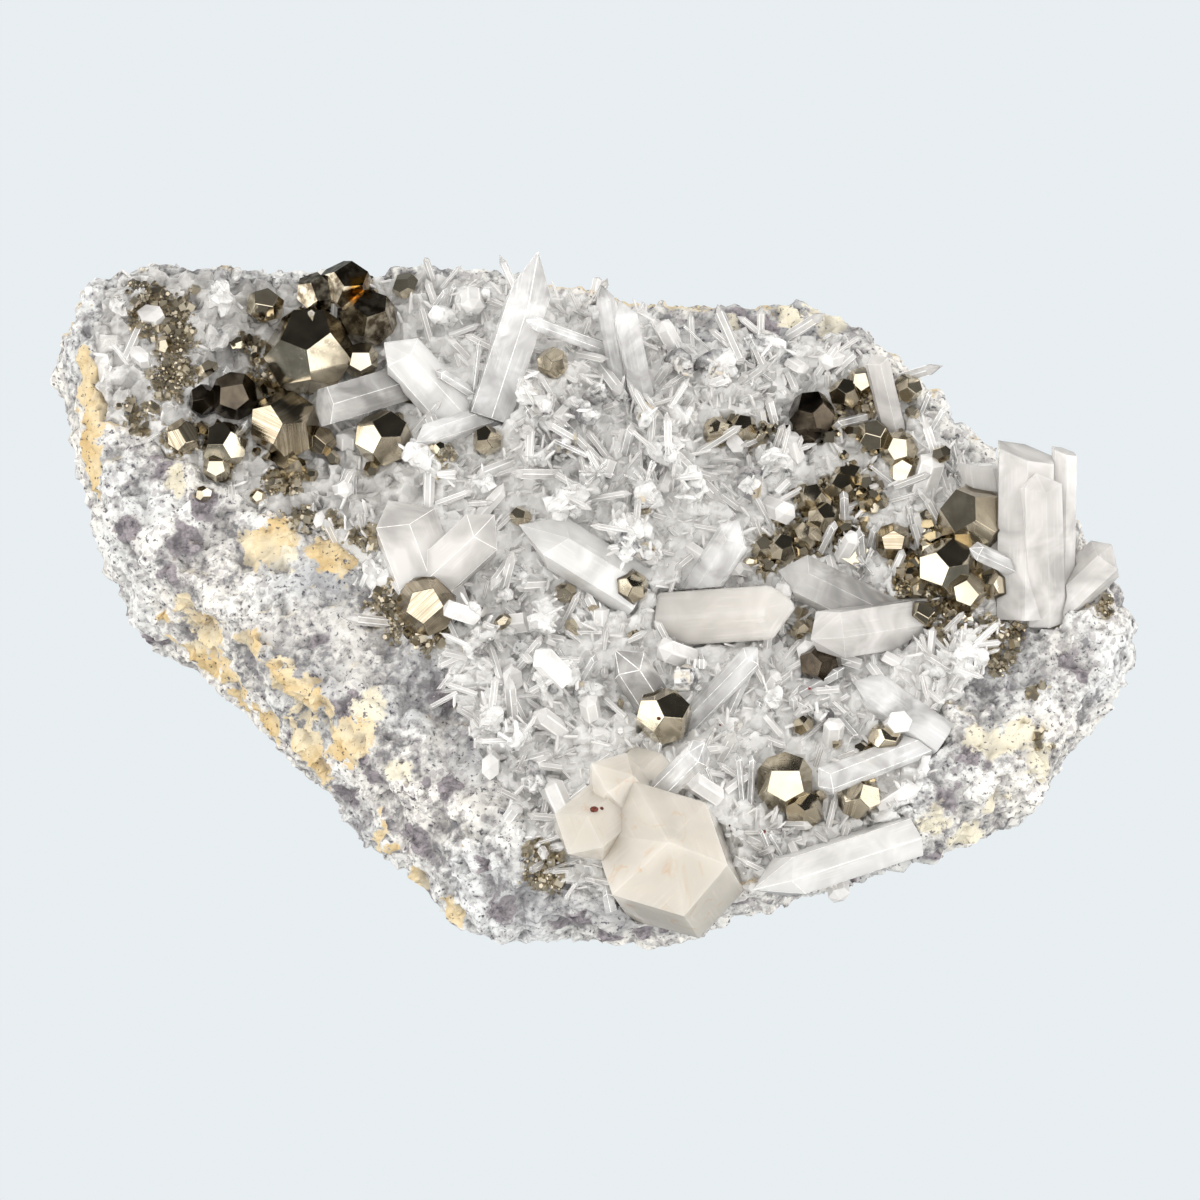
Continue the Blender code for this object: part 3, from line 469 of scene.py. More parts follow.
def altered_rock():
    """Altered rock: chalk-white to grey grains of quartz and clay, freshly broken and dull all over, with painted shade
    in its sunken hollows, in listed patches and under the pyrite crusts.
    """
    made, tree = new_material("altered_rock_broken")
    place = add(tree, "ShaderNodeTexCoord").outputs["Object"]
    broad = add(tree, "ShaderNodeTexNoise", {0: place, "Scale": 1 / (9 * MM), "Detail": 4.0, "Roughness": 0.65}).outputs[0]
    fine = add(tree, "ShaderNodeTexNoise", {0: place, "Scale": 1 / (1.6 * MM), "Detail": 3.0, "Roughness": 0.7}).outputs[0]
    grit = add(tree, "ShaderNodeTexVoronoi", {0: place, "Scale": 1 / (0.9 * MM)})
    specks = add(tree, "ShaderNodeTexNoise", {0: place, "Scale": 1 / (0.8 * MM), "Detail": 3.0, "Roughness": 0.6}).outputs[0]
    uneven = add(tree, "ShaderNodeMath", {0: fine, 1: 1.1, 2: broad}, operation="MULTIPLY_ADD").outputs[0]
    zones = add(tree, "ShaderNodeTexNoise", {0: place, "Scale": 1 / (24 * MM), "Detail": 2.0}).outputs[0]
    white = mix(tree, ramp(tree, zones, 0.42, 0.58), linear("#D8D9D8"), linear("#E2DFD9"))
    colour = mix(tree, ramp(tree, uneven, 0.85, 1.1), linear("#807F80"), white)
    each = add(tree, "ShaderNodeSeparateColor", {0: grit.outputs["Color"]})
    colour = mix(tree, ramp(tree, each.outputs[0], 0.72, 0.9, 0, 0.55), colour, linear("#989294"))

    def ragged_patch(name, low=0.35, high=0.6):
        """A painted patch with its edge broken up by the grain."""
        level = add(tree, "ShaderNodeAttribute", attribute_name=name).outputs["Fac"]
        broken = add(tree, "ShaderNodeMath", {0: fine, 1: 1.5, 2: level}, operation="MULTIPLY_ADD").outputs[0]
        return ramp(tree, broken, low + 0.75, high + 0.75)

    # Painted shade: a darker grey over the shade patches, broken up by the broad noise.
    dim = add(tree, "ShaderNodeAttribute", attribute_name="dim").outputs["Fac"]
    dim = add(tree, "ShaderNodeMath", {0: dim, 1: ramp(tree, broad, 0.36, 0.56, 0.1, 0.7)}, operation="MULTIPLY").outputs[0]
    colour = mix(tree, dim, colour, linear("#85868A"))
    lump_colour = mix(tree, ramp(tree, fine, 0.4, 0.6), linear("#625D61"), linear("#989195"))
    colour = mix(tree, ragged_patch("lumps", 0.45, 0.62), colour, lump_colour)
    colour = mix(tree, ragged_patch("cream"), colour, linear("#DDD6C2"))
    clay_colour = mix(tree, ramp(tree, broad, 0.4, 0.6), linear("#DDD0B2"), linear("#CEB586"))
    colour = mix(tree, ragged_patch("clay", 0.27, 0.41), colour, clay_colour)
    behind = add(tree, "ShaderNodeAttribute", attribute_name="behind").outputs["Fac"]
    film = add(tree, "ShaderNodeTexNoise", {0: place, "Scale": 1 / (13 * MM), "Detail": 4.0}).outputs[0]
    film = add(tree, "ShaderNodeMath", {0: ramp(tree, film, 0.54, 0.58), 1: behind}, operation="MULTIPLY").outputs[0]
    film = add(tree, "ShaderNodeMath", {0: film, 1: ramp(tree, fine, 0.4, 0.5)}, operation="MULTIPLY").outputs[0]
    colour = mix(tree, film, colour, clay_colour)
    relief = add(tree, "ShaderNodeAttribute", attribute_name="relief").outputs["Fac"]
    # Painted shade: darker grey where the relief is sunk in, in the rock's hollows.
    colour = mix(tree, ramp(tree, relief, -0.2, -1.3, 0.0, 0.5), colour, linear("#6B696B"))
    # Painted shade: dark brown ground under the pyrite crusts and in the hollows.
    colour = mix(tree, ragged_patch("painted_crust_shade", 0.3, 0.5), colour, linear("#4F473B"))
    crowd = ramp(tree, broad, 0.42, 0.62, 0.0, 0.05)
    speck_level = add(tree, "ShaderNodeMath", {0: specks, 1: crowd}, operation="SUBTRACT").outputs[0]
    colour = mix(tree, ramp(tree, speck_level, 0.36, 0.32, 0.0, 0.85), colour, linear("#4A474E"))
    height = add(tree, "ShaderNodeMath", {0: grit.outputs[0], 1: -0.6, 2: fine}, operation="MULTIPLY_ADD").outputs[0]
    bump = add(tree, "ShaderNodeBump", {"Strength": 0.5, "Distance": 0.4 * MM, "Height": height})
    shader = add(
        tree,
        "ShaderNodeBsdfPrincipled",
        {"Base Color": colour, "Roughness": 0.8, "Specular IOR Level": 0.35, "Normal": bump.outputs[0]},
    )
    add(tree, "ShaderNodeOutputMaterial", {0: shader.outputs[0]})
    return made


ALL_CRUSTS = CRUSTS + HOLLOWS
# Painted shade under the pyrite crusts and in the hollows, on the rock.
paint(rock.data, ragged, "painted_crust_shade", ALL_CRUSTS, 1.3)
rock.data.materials.clear()
rock.data.materials.append(altered_rock())
show_on_root(rock, "altered_rock", "rock_matrix")


# The druse: one bed of milky quartz that lines the cavity, with hundreds of quartz needles grown
# out of it. The needles stand in sprays, milky at the root and clear towards their six-sided points.
BED_GRID = 0.7 * MM
BED_LUMP_SIZE, BED_LUMP_HEIGHT = 5.0 * MM, 1.8 * MM
BED_CHUNK_SIZE, BED_CHUNK_HEIGHT = 4.0 * MM, 0.4 * MM
BED_GRAIN_SIZE, BED_GRAIN_HEIGHT = 1.8 * MM, 0.2 * MM
BED_FACET_SIZE, BED_FACET_TILT = 3.0 * MM, 1.15
BED_SMALL_FACET = 1.3 * MM
KEEP_CLEAR = 1.3 * MM

bed = merged_copy("quartz_druse")
even = bed.modifiers.new("even_grid", "REMESH")
even.mode = "VOXEL"
even.voxel_size = BED_GRID
run_geometry(
    bed,
    broken_relief,
    **{
        "Lump Size": BED_LUMP_SIZE,
        "Lump Height": BED_LUMP_HEIGHT,
        "Chunk Size": BED_CHUNK_SIZE,
        "Chunk Height": BED_CHUNK_HEIGHT,
        "Grain Size": BED_GRAIN_SIZE,
        "Grain Height": BED_GRAIN_HEIGHT,
        "Facet Size": BED_FACET_SIZE,
        "Facet Tilt": BED_FACET_TILT,
    },
)
finished(bed)
# Where few needles stand, as seen.
BARE = (
    (-82.0, 50.0, 7.0), (-74.0, 54.0, 7.0), (-66.0, 55.0, 8.0), (-58.0, 53.0, 7.0), (-50.0, 54.0, 6.0),
    (-68.0, 48.0, 7.0), (54.0, 38.0, 4.0), (48.0, 43.0, 4.0), (16.0, 48.0, 3.0), (26.0, 48.0, 3.5), (36.0, 47.0, 3.5),
    (37.0, 14.0, 5.0), (33.0, 8.0, 4.0), (44.0, 30.0, 5.0), (34.0, 29.0, 4.0), (21.0, 27.0, 2.5), (54.0, 5.0, 6.0),
    (61.0, 6.0, 4.0), (48.0, 22.0, 4.0), (-36.0, 48.0, 5.0),
    (-58.0, 42.0, 9.0), (-52.0, 18.0, 10.0), (-36.0, 18.0, 7.0), (-78.0, 35.0, 7.0), (-70.0, 44.0, 6.0),
    (-62.0, 30.0, 7.0), (-79.0, 48.0, 9.0), (-71.0, 50.0, 9.0), (-65.0, 43.0, 8.0), (-84.0, 42.0, 6.0),
    (-31.0, 54.0, 4.0), (-23.0, 54.0, 4.0), (50.0, 38.0, 6.0), (79.0, 11.0, 5.0), (-7.0, 52.5, 4.0), (13.0, 50.0, 3.0),
)
ragged = warped(bed.data, RAGGED_SIZE, RAGGED_REACH)
paint(bed.data, ragged, "bare", BARE)
# Painted shade under the pyrite crusts and in the hollows, on the bed.
paint(bed.data, ragged, "painted_crust_shade", ALL_CRUSTS, 1.3)


large_crystals = [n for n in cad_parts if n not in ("rock_matrix", "quartz_druse")]
clearance(bed.data, "room", large_crystals, KEEP_CLEAR, 2)


def on_sides(tree, form, places):
    """Stores where each corner of a six-sided form lies round it, from 0 to 1."""
    return add(
        tree,
        "GeometryNodeStoreNamedAttribute",
        {"Geometry": form, "Name": "side", "Value": places},
        data_type="FLOAT_VECTOR",
        domain="CORNER",
    ).outputs[0]


def needle_tree():
    """Grows six-sided, pointed prisms out of a surface, in leaning sprays of uneven size."""
    tree, given = new_geometry_tree(
        "quartz_needles",
        {
            "Spacing": 1.5 * MM,
            "Crowding": 50000.0,
            "Length": 5 * MM,
            "Width": 1.5 * MM,
            "Lean": 0.8,
            "Spray Size": 9 * MM,
            "Seed": 1,
        },
    )
    finish = tree.interface.new_socket("Finish", in_out="INPUT", socket_type="NodeSocketMaterial")
    given = tree.nodes["Group Input"].outputs
    open_ground = add(tree, "GeometryNodeInputNamedAttribute", {0: "room"}).outputs[0]
    bare = add(tree, "GeometryNodeInputNamedAttribute", {0: "bare"}).outputs[0]
    sparse = ramp(tree, bare, 0.0, 0.9, 1.0, 0.0)
    up_way = add(tree, "ShaderNodeSeparateXYZ", {0: add(tree, "GeometryNodeInputNormal").outputs[0]}).outputs["Z"]
    upper = ramp(tree, up_way, 0.15, 0.45)
    chance = add(tree, "ShaderNodeMath", {0: open_ground, 1: sparse}, operation="MULTIPLY").outputs[0]
    chance = add(tree, "ShaderNodeMath", {0: chance, 1: upper}, operation="MULTIPLY").outputs[0]
    roots = add(
        tree,
        "GeometryNodeDistributePointsOnFaces",
        {
            "Mesh": given["Geometry"],
            "Distance Min": given["Spacing"],
            "Density Max": given["Crowding"],
            "Density Factor": chance,
            "Seed": given["Seed"],
        },
        distribute_method="POISSON",
    )
    place = add(tree, "GeometryNodeInputPosition").outputs[0]
    spray_scale = add(tree, "ShaderNodeMath", {0: 1.0, 1: given["Spray Size"]}, operation="DIVIDE").outputs[0]
    spray = add(tree, "ShaderNodeTexNoise", {0: place, "Scale": spray_scale, "Detail": 0.0}).outputs[1]
    spray = add(tree, "ShaderNodeVectorMath", {0: spray, 1: (0.5, 0.5, 0.5)}, operation="SUBTRACT").outputs[0]
    spray = add(tree, "ShaderNodeVectorMath", {0: spray, 3: 5.0}, operation="SCALE").outputs[0]
    own = add(
        tree,
        "FunctionNodeRandomValue",
        {0: (-0.6, -0.6, -0.4), 1: (0.6, 0.6, 0.4), "Seed": given["Seed"]},
        data_type="FLOAT_VECTOR",
    ).outputs[0]
    bend = add(tree, "ShaderNodeVectorMath", {0: spray, 1: own}, operation="ADD").outputs[0]
    bend = add(tree, "ShaderNodeVectorMath", {0: bend, 3: given["Lean"]}, operation="SCALE").outputs[0]
    way = add(tree, "ShaderNodeVectorMath", {0: roots.outputs["Normal"], 1: bend}, operation="ADD").outputs[0]
    spin = add(
        tree, "FunctionNodeRandomValue", {0: (0, 0, 0), 1: (0, 0, math.tau), "Seed": given["Seed"]}, data_type="FLOAT_VECTOR"
    ).outputs[0]
    turned = add(tree, "FunctionNodeAlignRotationToVector", {"Rotation": spin, "Vector": way}, axis="Z").outputs[0]
    luck = add(tree, "FunctionNodeRandomValue", {2: 0.0, 3: 1.0, "Seed": given["Seed"]}, data_type="FLOAT").outputs[1]
    rare = add(tree, "ShaderNodeMath", {0: luck, 1: 2.2}, operation="POWER").outputs[0]
    longer = ramp(tree, rare, 0.0, 1.0, 0.45, 1.35)
    length = add(tree, "ShaderNodeMath", {0: longer, 1: given["Length"]}, operation="MULTIPLY").outputs[0]
    girth_seed = add(tree, "ShaderNodeMath", {0: given["Seed"], 1: 50.0}, operation="ADD").outputs[0]
    girth_luck = add(tree, "FunctionNodeRandomValue", {2: 0.55, 3: 1.2, "Seed": girth_seed}, data_type="FLOAT")
    girth = add(tree, "ShaderNodeMath", {0: girth_luck.outputs[1], 1: given["Width"]}, operation="MULTIPLY").outputs[0]
    flat = add(tree, "FunctionNodeRandomValue", {2: 0.6, 3: 1.0, "Seed": given["Seed"]}, data_type="FLOAT").outputs[1]
    flatter = add(tree, "ShaderNodeMath", {0: girth, 1: flat}, operation="MULTIPLY").outputs[0]
    size = add(tree, "ShaderNodeCombineXYZ", {0: girth, 1: flatter, 2: length}).outputs[0]
    prism = add(
        tree,
        "GeometryNodeMeshCylinder",
        {"Vertices": 6, "Side Segments": 1, "Radius": 0.5, "Depth": 0.95},
        fill_type="NGON",
    )
    prism_map = prism.outputs["UV Map"]
    prism = prism.outputs["Mesh"]
    prism = add(tree, "GeometryNodeTransform", {"Geometry": prism, "Translation": (0, 0, 0.275)}).outputs[0]
    prism = on_sides(tree, prism, prism_map)
    faces_up = add(tree, "ShaderNodeSeparateXYZ", {0: add(tree, "GeometryNodeInputNormal").outputs[0]}).outputs["Z"]
    lid = add(tree, "FunctionNodeCompare", {0: faces_up, 1: 0.5}, data_type="FLOAT", operation="GREATER_THAN").outputs[0]
    prism = add(tree, "GeometryNodeDeleteGeometry", {"Geometry": prism, "Selection": lid}, domain="FACE").outputs[0]
    forms = []
    for tip, side in ((0.14, 0.12), (0.24, 0.0), (0.2, -0.2)):
        point = add(
            tree,
            "GeometryNodeMeshCone",
            {"Vertices": 6, "Side Segments": 1, "Radius Top": 0.0, "Radius Bottom": 0.5, "Depth": tip},
            fill_type="NONE",
        ).outputs["Mesh"]
        point = add(tree, "GeometryNodeTransform", {"Geometry": point, "Translation": (0, 0, 0.75)}).outputs[0]
        point = on_sides(tree, point, (0.5 / 6, 0, 0))
        crystal = add(tree, "GeometryNodeJoinGeometry")
        tree.links.new(prism, crystal.inputs[0])
        tree.links.new(point, crystal.inputs[0])
        closed = add(tree, "GeometryNodeMergeByDistance", {"Geometry": crystal.outputs[0], "Distance": 0.01}).outputs[0]
        height = add(tree, "ShaderNodeSeparateXYZ", {0: add(tree, "GeometryNodeInputPosition").outputs[0]}).outputs["Z"]
        top = add(tree, "FunctionNodeCompare", {0: height, 1: 0.76}, data_type="FLOAT", operation="GREATER_THAN").outputs[0]
        leaned = add(
            tree, "GeometryNodeSetPosition", {"Geometry": closed, "Selection": top, "Offset": (side, 0.5 * side, 0)}
        ).outputs[0]
        marked = add(
            tree,
            "GeometryNodeStoreNamedAttribute",
            {"Geometry": leaned, "Name": "along", "Value": ramp(tree, height, -0.1, 0.9)},
            data_type="FLOAT",
            domain="POINT",
        ).outputs[0]
        forms.append(add(tree, "GeometryNodeGeometryToInstance", {0: marked}).outputs[0])
    choice = add(tree, "GeometryNodeJoinGeometry")
    for form in forms:
        tree.links.new(form, choice.inputs[0])
    spread = add(
        tree,
        "GeometryNodeInstanceOnPoints",
        {
            "Points": roots.outputs["Points"],
            "Instance": choice.outputs[0],
            "Pick Instance": True,
            "Rotation": turned,
            "Scale": size,
        },
    ).outputs[0]
    tone = add(tree, "FunctionNodeRandomValue", {2: 0.0, 3: 1.0, "Seed": given["Seed"]}, data_type="FLOAT").outputs[1]
    toned = add(
        tree,
        "GeometryNodeStoreNamedAttribute",
        {"Geometry": spread, "Name": "tone", "Value": tone},
        data_type="FLOAT",
        domain="INSTANCE",
    ).outputs[0]
    real = add(tree, "GeometryNodeRealizeInstances", {0: toned}).outputs[0]
    done = add(tree, "GeometryNodeSetMaterial", {"Geometry": real, "Material": given["Finish"]}).outputs[0]
    add(tree, "NodeGroupOutput", {0: done})
    return tree


def druse_quartz(name, needle, clearest=0.0, tints=("#E3E1DF", "#F8F6F4"), painted_highlight_tint="#FFFFFE"):
    """Milky quartz: white where full of fine fluid bubbles, grey and clear where free of them, with painted highlights
    along the needles' edges and painted shade under the pyrite on the bed.
    """
    made, tree = new_material(name)
    place = add(tree, "ShaderNodeTexCoord").outputs["Object"]
    veils = add(tree, "ShaderNodeTexNoise", {0: place, "Scale": 1 / (5 * MM), "Detail": 3.0, "Roughness": 0.6}).outputs[0]
    grain = add(tree, "ShaderNodeTexNoise", {0: place, "Scale": 1 / (0.9 * MM), "Detail": 3.0}).outputs[0]
    if needle:
        tone = add(tree, "ShaderNodeAttribute", attribute_name="tone").outputs["Fac"]
        along = add(tree, "ShaderNodeAttribute", attribute_name="along").outputs["Fac"]
        clear = add(tree, "ShaderNodeMath", {0: along, 1: 0.4 * clearest, 2: ramp(tree, tone, 0, 1, 0.0, 0.6 * clearest)}, operation="MULTIPLY_ADD").outputs[0]
        clear = add(tree, "ShaderNodeMath", {0: ramp(tree, veils, 0.35, 0.65, 0.1, -0.1), 1: clear}, operation="ADD", use_clamp=True).outputs[0]
        # Painted highlight: white lines along the needles' edges, where they are also less clear.
        round_it = add(tree, "ShaderNodeAttribute", attribute_name="side").outputs["Vector"]
        round_it = add(tree, "ShaderNodeSeparateXYZ", {0: round_it}).outputs["X"]
        side = add(tree, "ShaderNodeMath", {0: round_it, 1: 6.0}, operation="MULTIPLY").outputs[0]
        from_edge = add(tree, "ShaderNodeMath", {0: side, 1: 0.5}, operation="PINGPONG").outputs[0]
        edge = ramp(tree, from_edge, 0.13, 0.05, 0.0, 0.7)
        clear = add(tree, "ShaderNodeMath", {0: edge, 1: -0.8, 2: clear}, operation="MULTIPLY_ADD", use_clamp=True).outputs[0]
        colour = mix(tree, tone, linear(tints[0]), linear(tints[1]))
        colour = mix(tree, edge, colour, linear(painted_highlight_tint))
        rough = 0.06
    else:
        clear = 0.0
        bare = add(tree, "ShaderNodeAttribute", attribute_name="bare").outputs["Fac"]
        dull = mix(tree, ramp(tree, veils, 0.38, 0.62), linear("#AAA8A6"), linear("#D8D6D3"))
        white = mix(tree, ramp(tree, veils, 0.38, 0.62), linear("#E2E1DF"), linear("#EFEEEC"))
        colour = mix(tree, bare, white, dull)
        cells = add(tree, "ShaderNodeTexVoronoi", {0: place, "Scale": 1 / BED_SMALL_FACET}).outputs["Color"]
        cell_tone = add(tree, "ShaderNodeSeparateColor", {0: cells}).outputs[0]
        colour = mix(tree, ramp(tree, cell_tone, 0.0, 1.0, 0.16, 0.0), colour, linear("#8F8E8D"))
        # Painted shade: dark brown ground under the pyrite crusts and in the hollows.
        painted_crust_shade = add(tree, "ShaderNodeAttribute", attribute_name="painted_crust_shade").outputs["Fac"]
        crust_shade_level = add(tree, "ShaderNodeMath", {0: grain, 1: 1.2, 2: painted_crust_shade}, operation="MULTIPLY_ADD").outputs[0]
        colour = mix(tree, ramp(tree, crust_shade_level, 0.9, 1.2, 0.0, 0.9), colour, linear("#4F473B"))
        rough = 0.16
    settings = {"Base Color": colour, "IOR": 1.544, "Transmission Weight": clear, "Roughness": rough}
    if not needle:
        settings.update({"Subsurface Weight": 0.8, "Subsurface Radius": (1, 1, 1), "Subsurface Scale": 2.0 * MM})
        facets = tilted_facets(tree, place, 1 / BED_SMALL_FACET)
        facets = add(tree, "ShaderNodeMath", {0: facets, 1: 1 / (0.2 * MM)}, operation="MULTIPLY").outputs[0]
        height = add(tree, "ShaderNodeMath", {0: grain, 1: 0.4, 2: facets}, operation="MULTIPLY_ADD").outputs[0]
        bump = add(tree, "ShaderNodeBump", {"Strength": 0.7, "Distance": 0.3 * MM, "Height": height})
        settings["Normal"] = bump.outputs[0]
    shader = add(tree, "ShaderNodeBsdfPrincipled", settings)
    add(tree, "ShaderNodeOutputMaterial", {0: shader.outputs[0]})
    return made


bed.data.materials.clear()
bed.data.materials.append(druse_quartz("milky_quartz_bed", False))
clear_needle = druse_quartz("quartz_needle_clear_to_milky", True, 0.7)
milky_needle = druse_quartz("quartz_needle_milky", True, 0.15, ("#D8D6D4", "#EFEDEB"), "#F6F4F2")
needles = needle_tree()
# Each growth: spacing, most needles for each square metre, length, width, lean, seed and finish.
GROWTHS = {
    "druse_blocky_crystals": (6.0 * MM, 15000.0, 6.0 * MM, 4.0 * MM, 0.5, 2, milky_needle),
    "druse_long_needles": (4.6 * MM, 34000.0, 10.0 * MM, 2.0 * MM, 1.2, 3, clear_needle),
    "druse_needles": (2.5 * MM, 100000.0, 5.6 * MM, 1.3 * MM, 1.1, 5, clear_needle),
    "druse_fine_needles": (1.3 * MM, 330000.0, 2.6 * MM, 0.6 * MM, 1.0, 8, milky_needle),
}
for name, (spacing, crowding, length, width, lean, seed, finish) in GROWTHS.items():
    growth = bpy.data.objects.new(name, bed.data.copy())
    bpy.context.scene.collection.objects.link(growth)
    run_geometry(
        growth,
        needles,
        Spacing=spacing,
        Crowding=crowding,
        Length=length,
        Width=width,
        Lean=lean,
        Seed=seed,
        Finish=finish,
    )
    finished(growth)
    show_on_root(growth, "quartz", "quartz_druse")
show_on_root(bed, "quartz", "quartz_druse")


# The pyrite: pyritohedra with flat, mirror-bright faces. Pyrite's own growth leaves fine lines on
# each face along its longest edge, faint steps and small pits. Each crystal group is taken from
# its solid, with its coplanar triangles made one face again and its edges hardly broken.
PYRITE_EDGE = 0.07 * MM
PYRITE_LINES = 0.55 * MM
TARNISHED_GROUP = "pyrite_left_rim"
TARNISH_SPOT = (-39.6, 51.8)
# Crystal groups given a darker copy of the pyrite: painted shade.
SHOWN_DARK = ("pyrite_left_black", "pyrite_hollow_dark", "pyrite_grey_right")
STRONGLY_LINED = ("pyrite_front_striated", "pyrite_left_middle", "pyrite_left_striated", "pyrite_right_bright")


def face_map(bm, least=0.0):
    """Each face's own map in millimetres, U along its longest edge, and how strongly it is lined."""
    lines = bm.loops.layers.uv.new("facets")
    lined = bm.faces.layers.float.new("lined")
    for number, face in enumerate(bm.faces):
        longest = max(face.edges, key=lambda e: e.calc_length())
        along = (longest.verts[1].co - longest.verts[0].co).normalized()
        across = face.normal.cross(along)
        face[lined] = least + random.random() ** 2
        for loop in face.loops:
            loop[lines].uv = (loop.vert.co.dot(along) / MM + 37 * number, loop.vert.co.dot(across) / MM)


def dressed(node, edge, least_lined, *finishes, rounds=1):
    """A copy of a CAD node with its flat faces whole again and its edges broken, or rounded in
    that many steps. The last of its finishes is on the edges."""
    random.seed(node)
    bm = bmesh.new()
    bm.from_mesh(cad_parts[node].data)
    bmesh.ops.remove_doubles(bm, verts=bm.verts, dist=0.002 * MM)
    bmesh.ops.dissolve_limit(
        bm, angle_limit=math.radians(0.6), verts=bm.verts, edges=bm.edges, delimit={"NORMAL"}
    )
    for layer in list(bm.loops.layers.uv):
        bm.loops.layers.uv.remove(layer)
    face_map(bm, least_lined)
    mesh = bpy.data.meshes.new(node + "_dressed")
    bm.to_mesh(mesh)
    bm.free()
    for finish in finishes:
        mesh.materials.append(finish)
    made = bpy.data.objects.new(node + "_dressed", mesh)
    bpy.context.scene.collection.objects.link(made)
    if edge:
        broken = made.modifiers.new("broken_edges", "BEVEL")
        broken.width = edge
        broken.segments = rounds
        broken.limit_method = "ANGLE"
        broken.angle_limit = math.radians(22)
        broken.material = len(finishes) - 1
    return finished(made)


def pyrite_metal(name, smooth, dull, tarnish_at=None, low="#C4B9A3", high="#DDD3BD"):
    """Pyrite, as grown: brassy mirror faces with fine growth lines, cloudy patches and small pits; the
    grooves of strongly lined faces carry painted shade. Near the tarnish spot a thin oxide film turns
    it amber and brown."""
    made, tree = new_material(name)
    facets = add(tree, "ShaderNodeUVMap", uv_map="facets")
    place = add(tree, "ShaderNodeTexCoord").outputs["Object"]
    stretched = add(tree, "ShaderNodeMapping", {0: facets.outputs[0], 3: (0.06, 1 / (PYRITE_LINES / MM), 1)})
    lines = add(
        tree, "ShaderNodeTexNoise", {0: stretched.outputs[0], "Scale": 1.0, "Detail": 3.0, "Roughness": 0.65}
    )
    cloud = add(tree, "ShaderNodeTexNoise", {0: place, "Scale": 1 / (3.5 * MM), "Detail": 3.0})
    lined = add(tree, "ShaderNodeAttribute", attribute_name="lined")
    line_depth = add(tree, "ShaderNodeMath", {0: lines.outputs[0], 1: lined.outputs["Fac"]}, operation="MULTIPLY")
    pits = add(tree, "ShaderNodeTexNoise", {0: place, "Scale": 1 / (0.45 * MM), "Detail": 2.0})
    pitted = add(tree, "ShaderNodeMapRange", {0: pits.outputs[0], 1: 0.28, 2: 0.4, 3: 0.0, 4: 1.0})
    relief = add(
        tree, "ShaderNodeMath", {0: pitted.outputs[0], 1: 0.5, 2: line_depth.outputs[0]}, operation="MULTIPLY_ADD"
    )
    bump = add(tree, "ShaderNodeBump", {"Strength": 0.18, "Distance": 0.05 * MM, "Height": relief.outputs[0]})
    tone = add(tree, "ShaderNodeValToRGB", {0: cloud.outputs[0]})
    tone.color_ramp.elements[0].position, tone.color_ramp.elements[0].color = 0.3, linear(low)
    tone.color_ramp.elements[1].position, tone.color_ramp.elements[1].color = 0.7, linear(high)
    # Painted shade: the low lines of the grooves on strongly lined faces are coloured darker.
    groove_shade = ramp(tree, line_depth.outputs[0], 2.5, 3.4, 0.6, 0.0)
    deep = ramp(tree, lined.outputs["Fac"], 4.0, 5.0)
    groove_shade = add(tree, "ShaderNodeMath", {0: groove_shade, 1: deep}, operation="MULTIPLY").outputs[0]
    colour = mix(tree, groove_shade, tone.outputs[0], linear("#8C7C62"))
    if tarnish_at:
        apart = add(tree, "ShaderNodeVectorMath", {0: place, 1: tarnish_at}, operation="DISTANCE").outputs["Value"]
        film = add(tree, "ShaderNodeTexNoise", {0: place, "Scale": 1 / (1.6 * MM), "Detail": 3.0}).outputs[0]
        tint = mix(tree, ramp(tree, film, 0.42, 0.58), linear("#4A3826"), linear("#D9A24E"))
        near = ramp(tree, apart, 3.5 * MM, 2.0 * MM)
        colour = mix(tree, near, mix(tree, ramp(tree, film, 0.4, 0.6), colour, linear("#6E6252")), tint)
    rough = add(tree, "ShaderNodeMapRange", {0: cloud.outputs[0], 1: 0.3, 2: 0.7, 3: smooth, 4: dull})
    shader = add(
        tree,
        "ShaderNodeBsdfPrincipled",
        {
            "Base Color": colour,
            "Metallic": 1.0,
            "Roughness": rough.outputs[0],
            "Normal": bump.outputs[0],
        },
    )
    add(tree, "ShaderNodeOutputMaterial", {0: shader.outputs[0]})
    return made


pyrite = pyrite_metal("pyrite_as_grown", 0.05, 0.16)
tarnished = bmesh.new()
tarnished.from_mesh(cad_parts[TARNISHED_GROUP].data)
film_at = tuple(seen(*TARNISH_SPOT, on=BVHTree.FromBMesh(tarnished))[0] or (0, 0, 0))
tarnished.free()
tarnished_pyrite = pyrite_metal("pyrite_tarnished", 0.08, 0.22, film_at)
# Painted shade: the pyrite made darker and duller for the groups that show dark.
shaded_pyrite = pyrite_metal("pyrite_painted_shade", 0.12, 0.3, None, "#3A3530", "#7A6F60")
for name in [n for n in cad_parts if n.startswith("pyrite_")]:
    metal = tarnished_pyrite if name == TARNISHED_GROUP else shaded_pyrite if name in SHOWN_DARK else pyrite
    crystal = dressed(name, PYRITE_EDGE, 5.0 if name in STRONGLY_LINED else 0.0, metal)
    show_on_root(crystal, "pyrite", name)


# The small pyrites: single crystals of a few millimetres, loose among the quartz, with the same
# faces as the large ones. Bright ones turn a face to the camera, dark ones to the dark of the room.
SMALL_SEED = 21
SMALL_SINK = 0.30
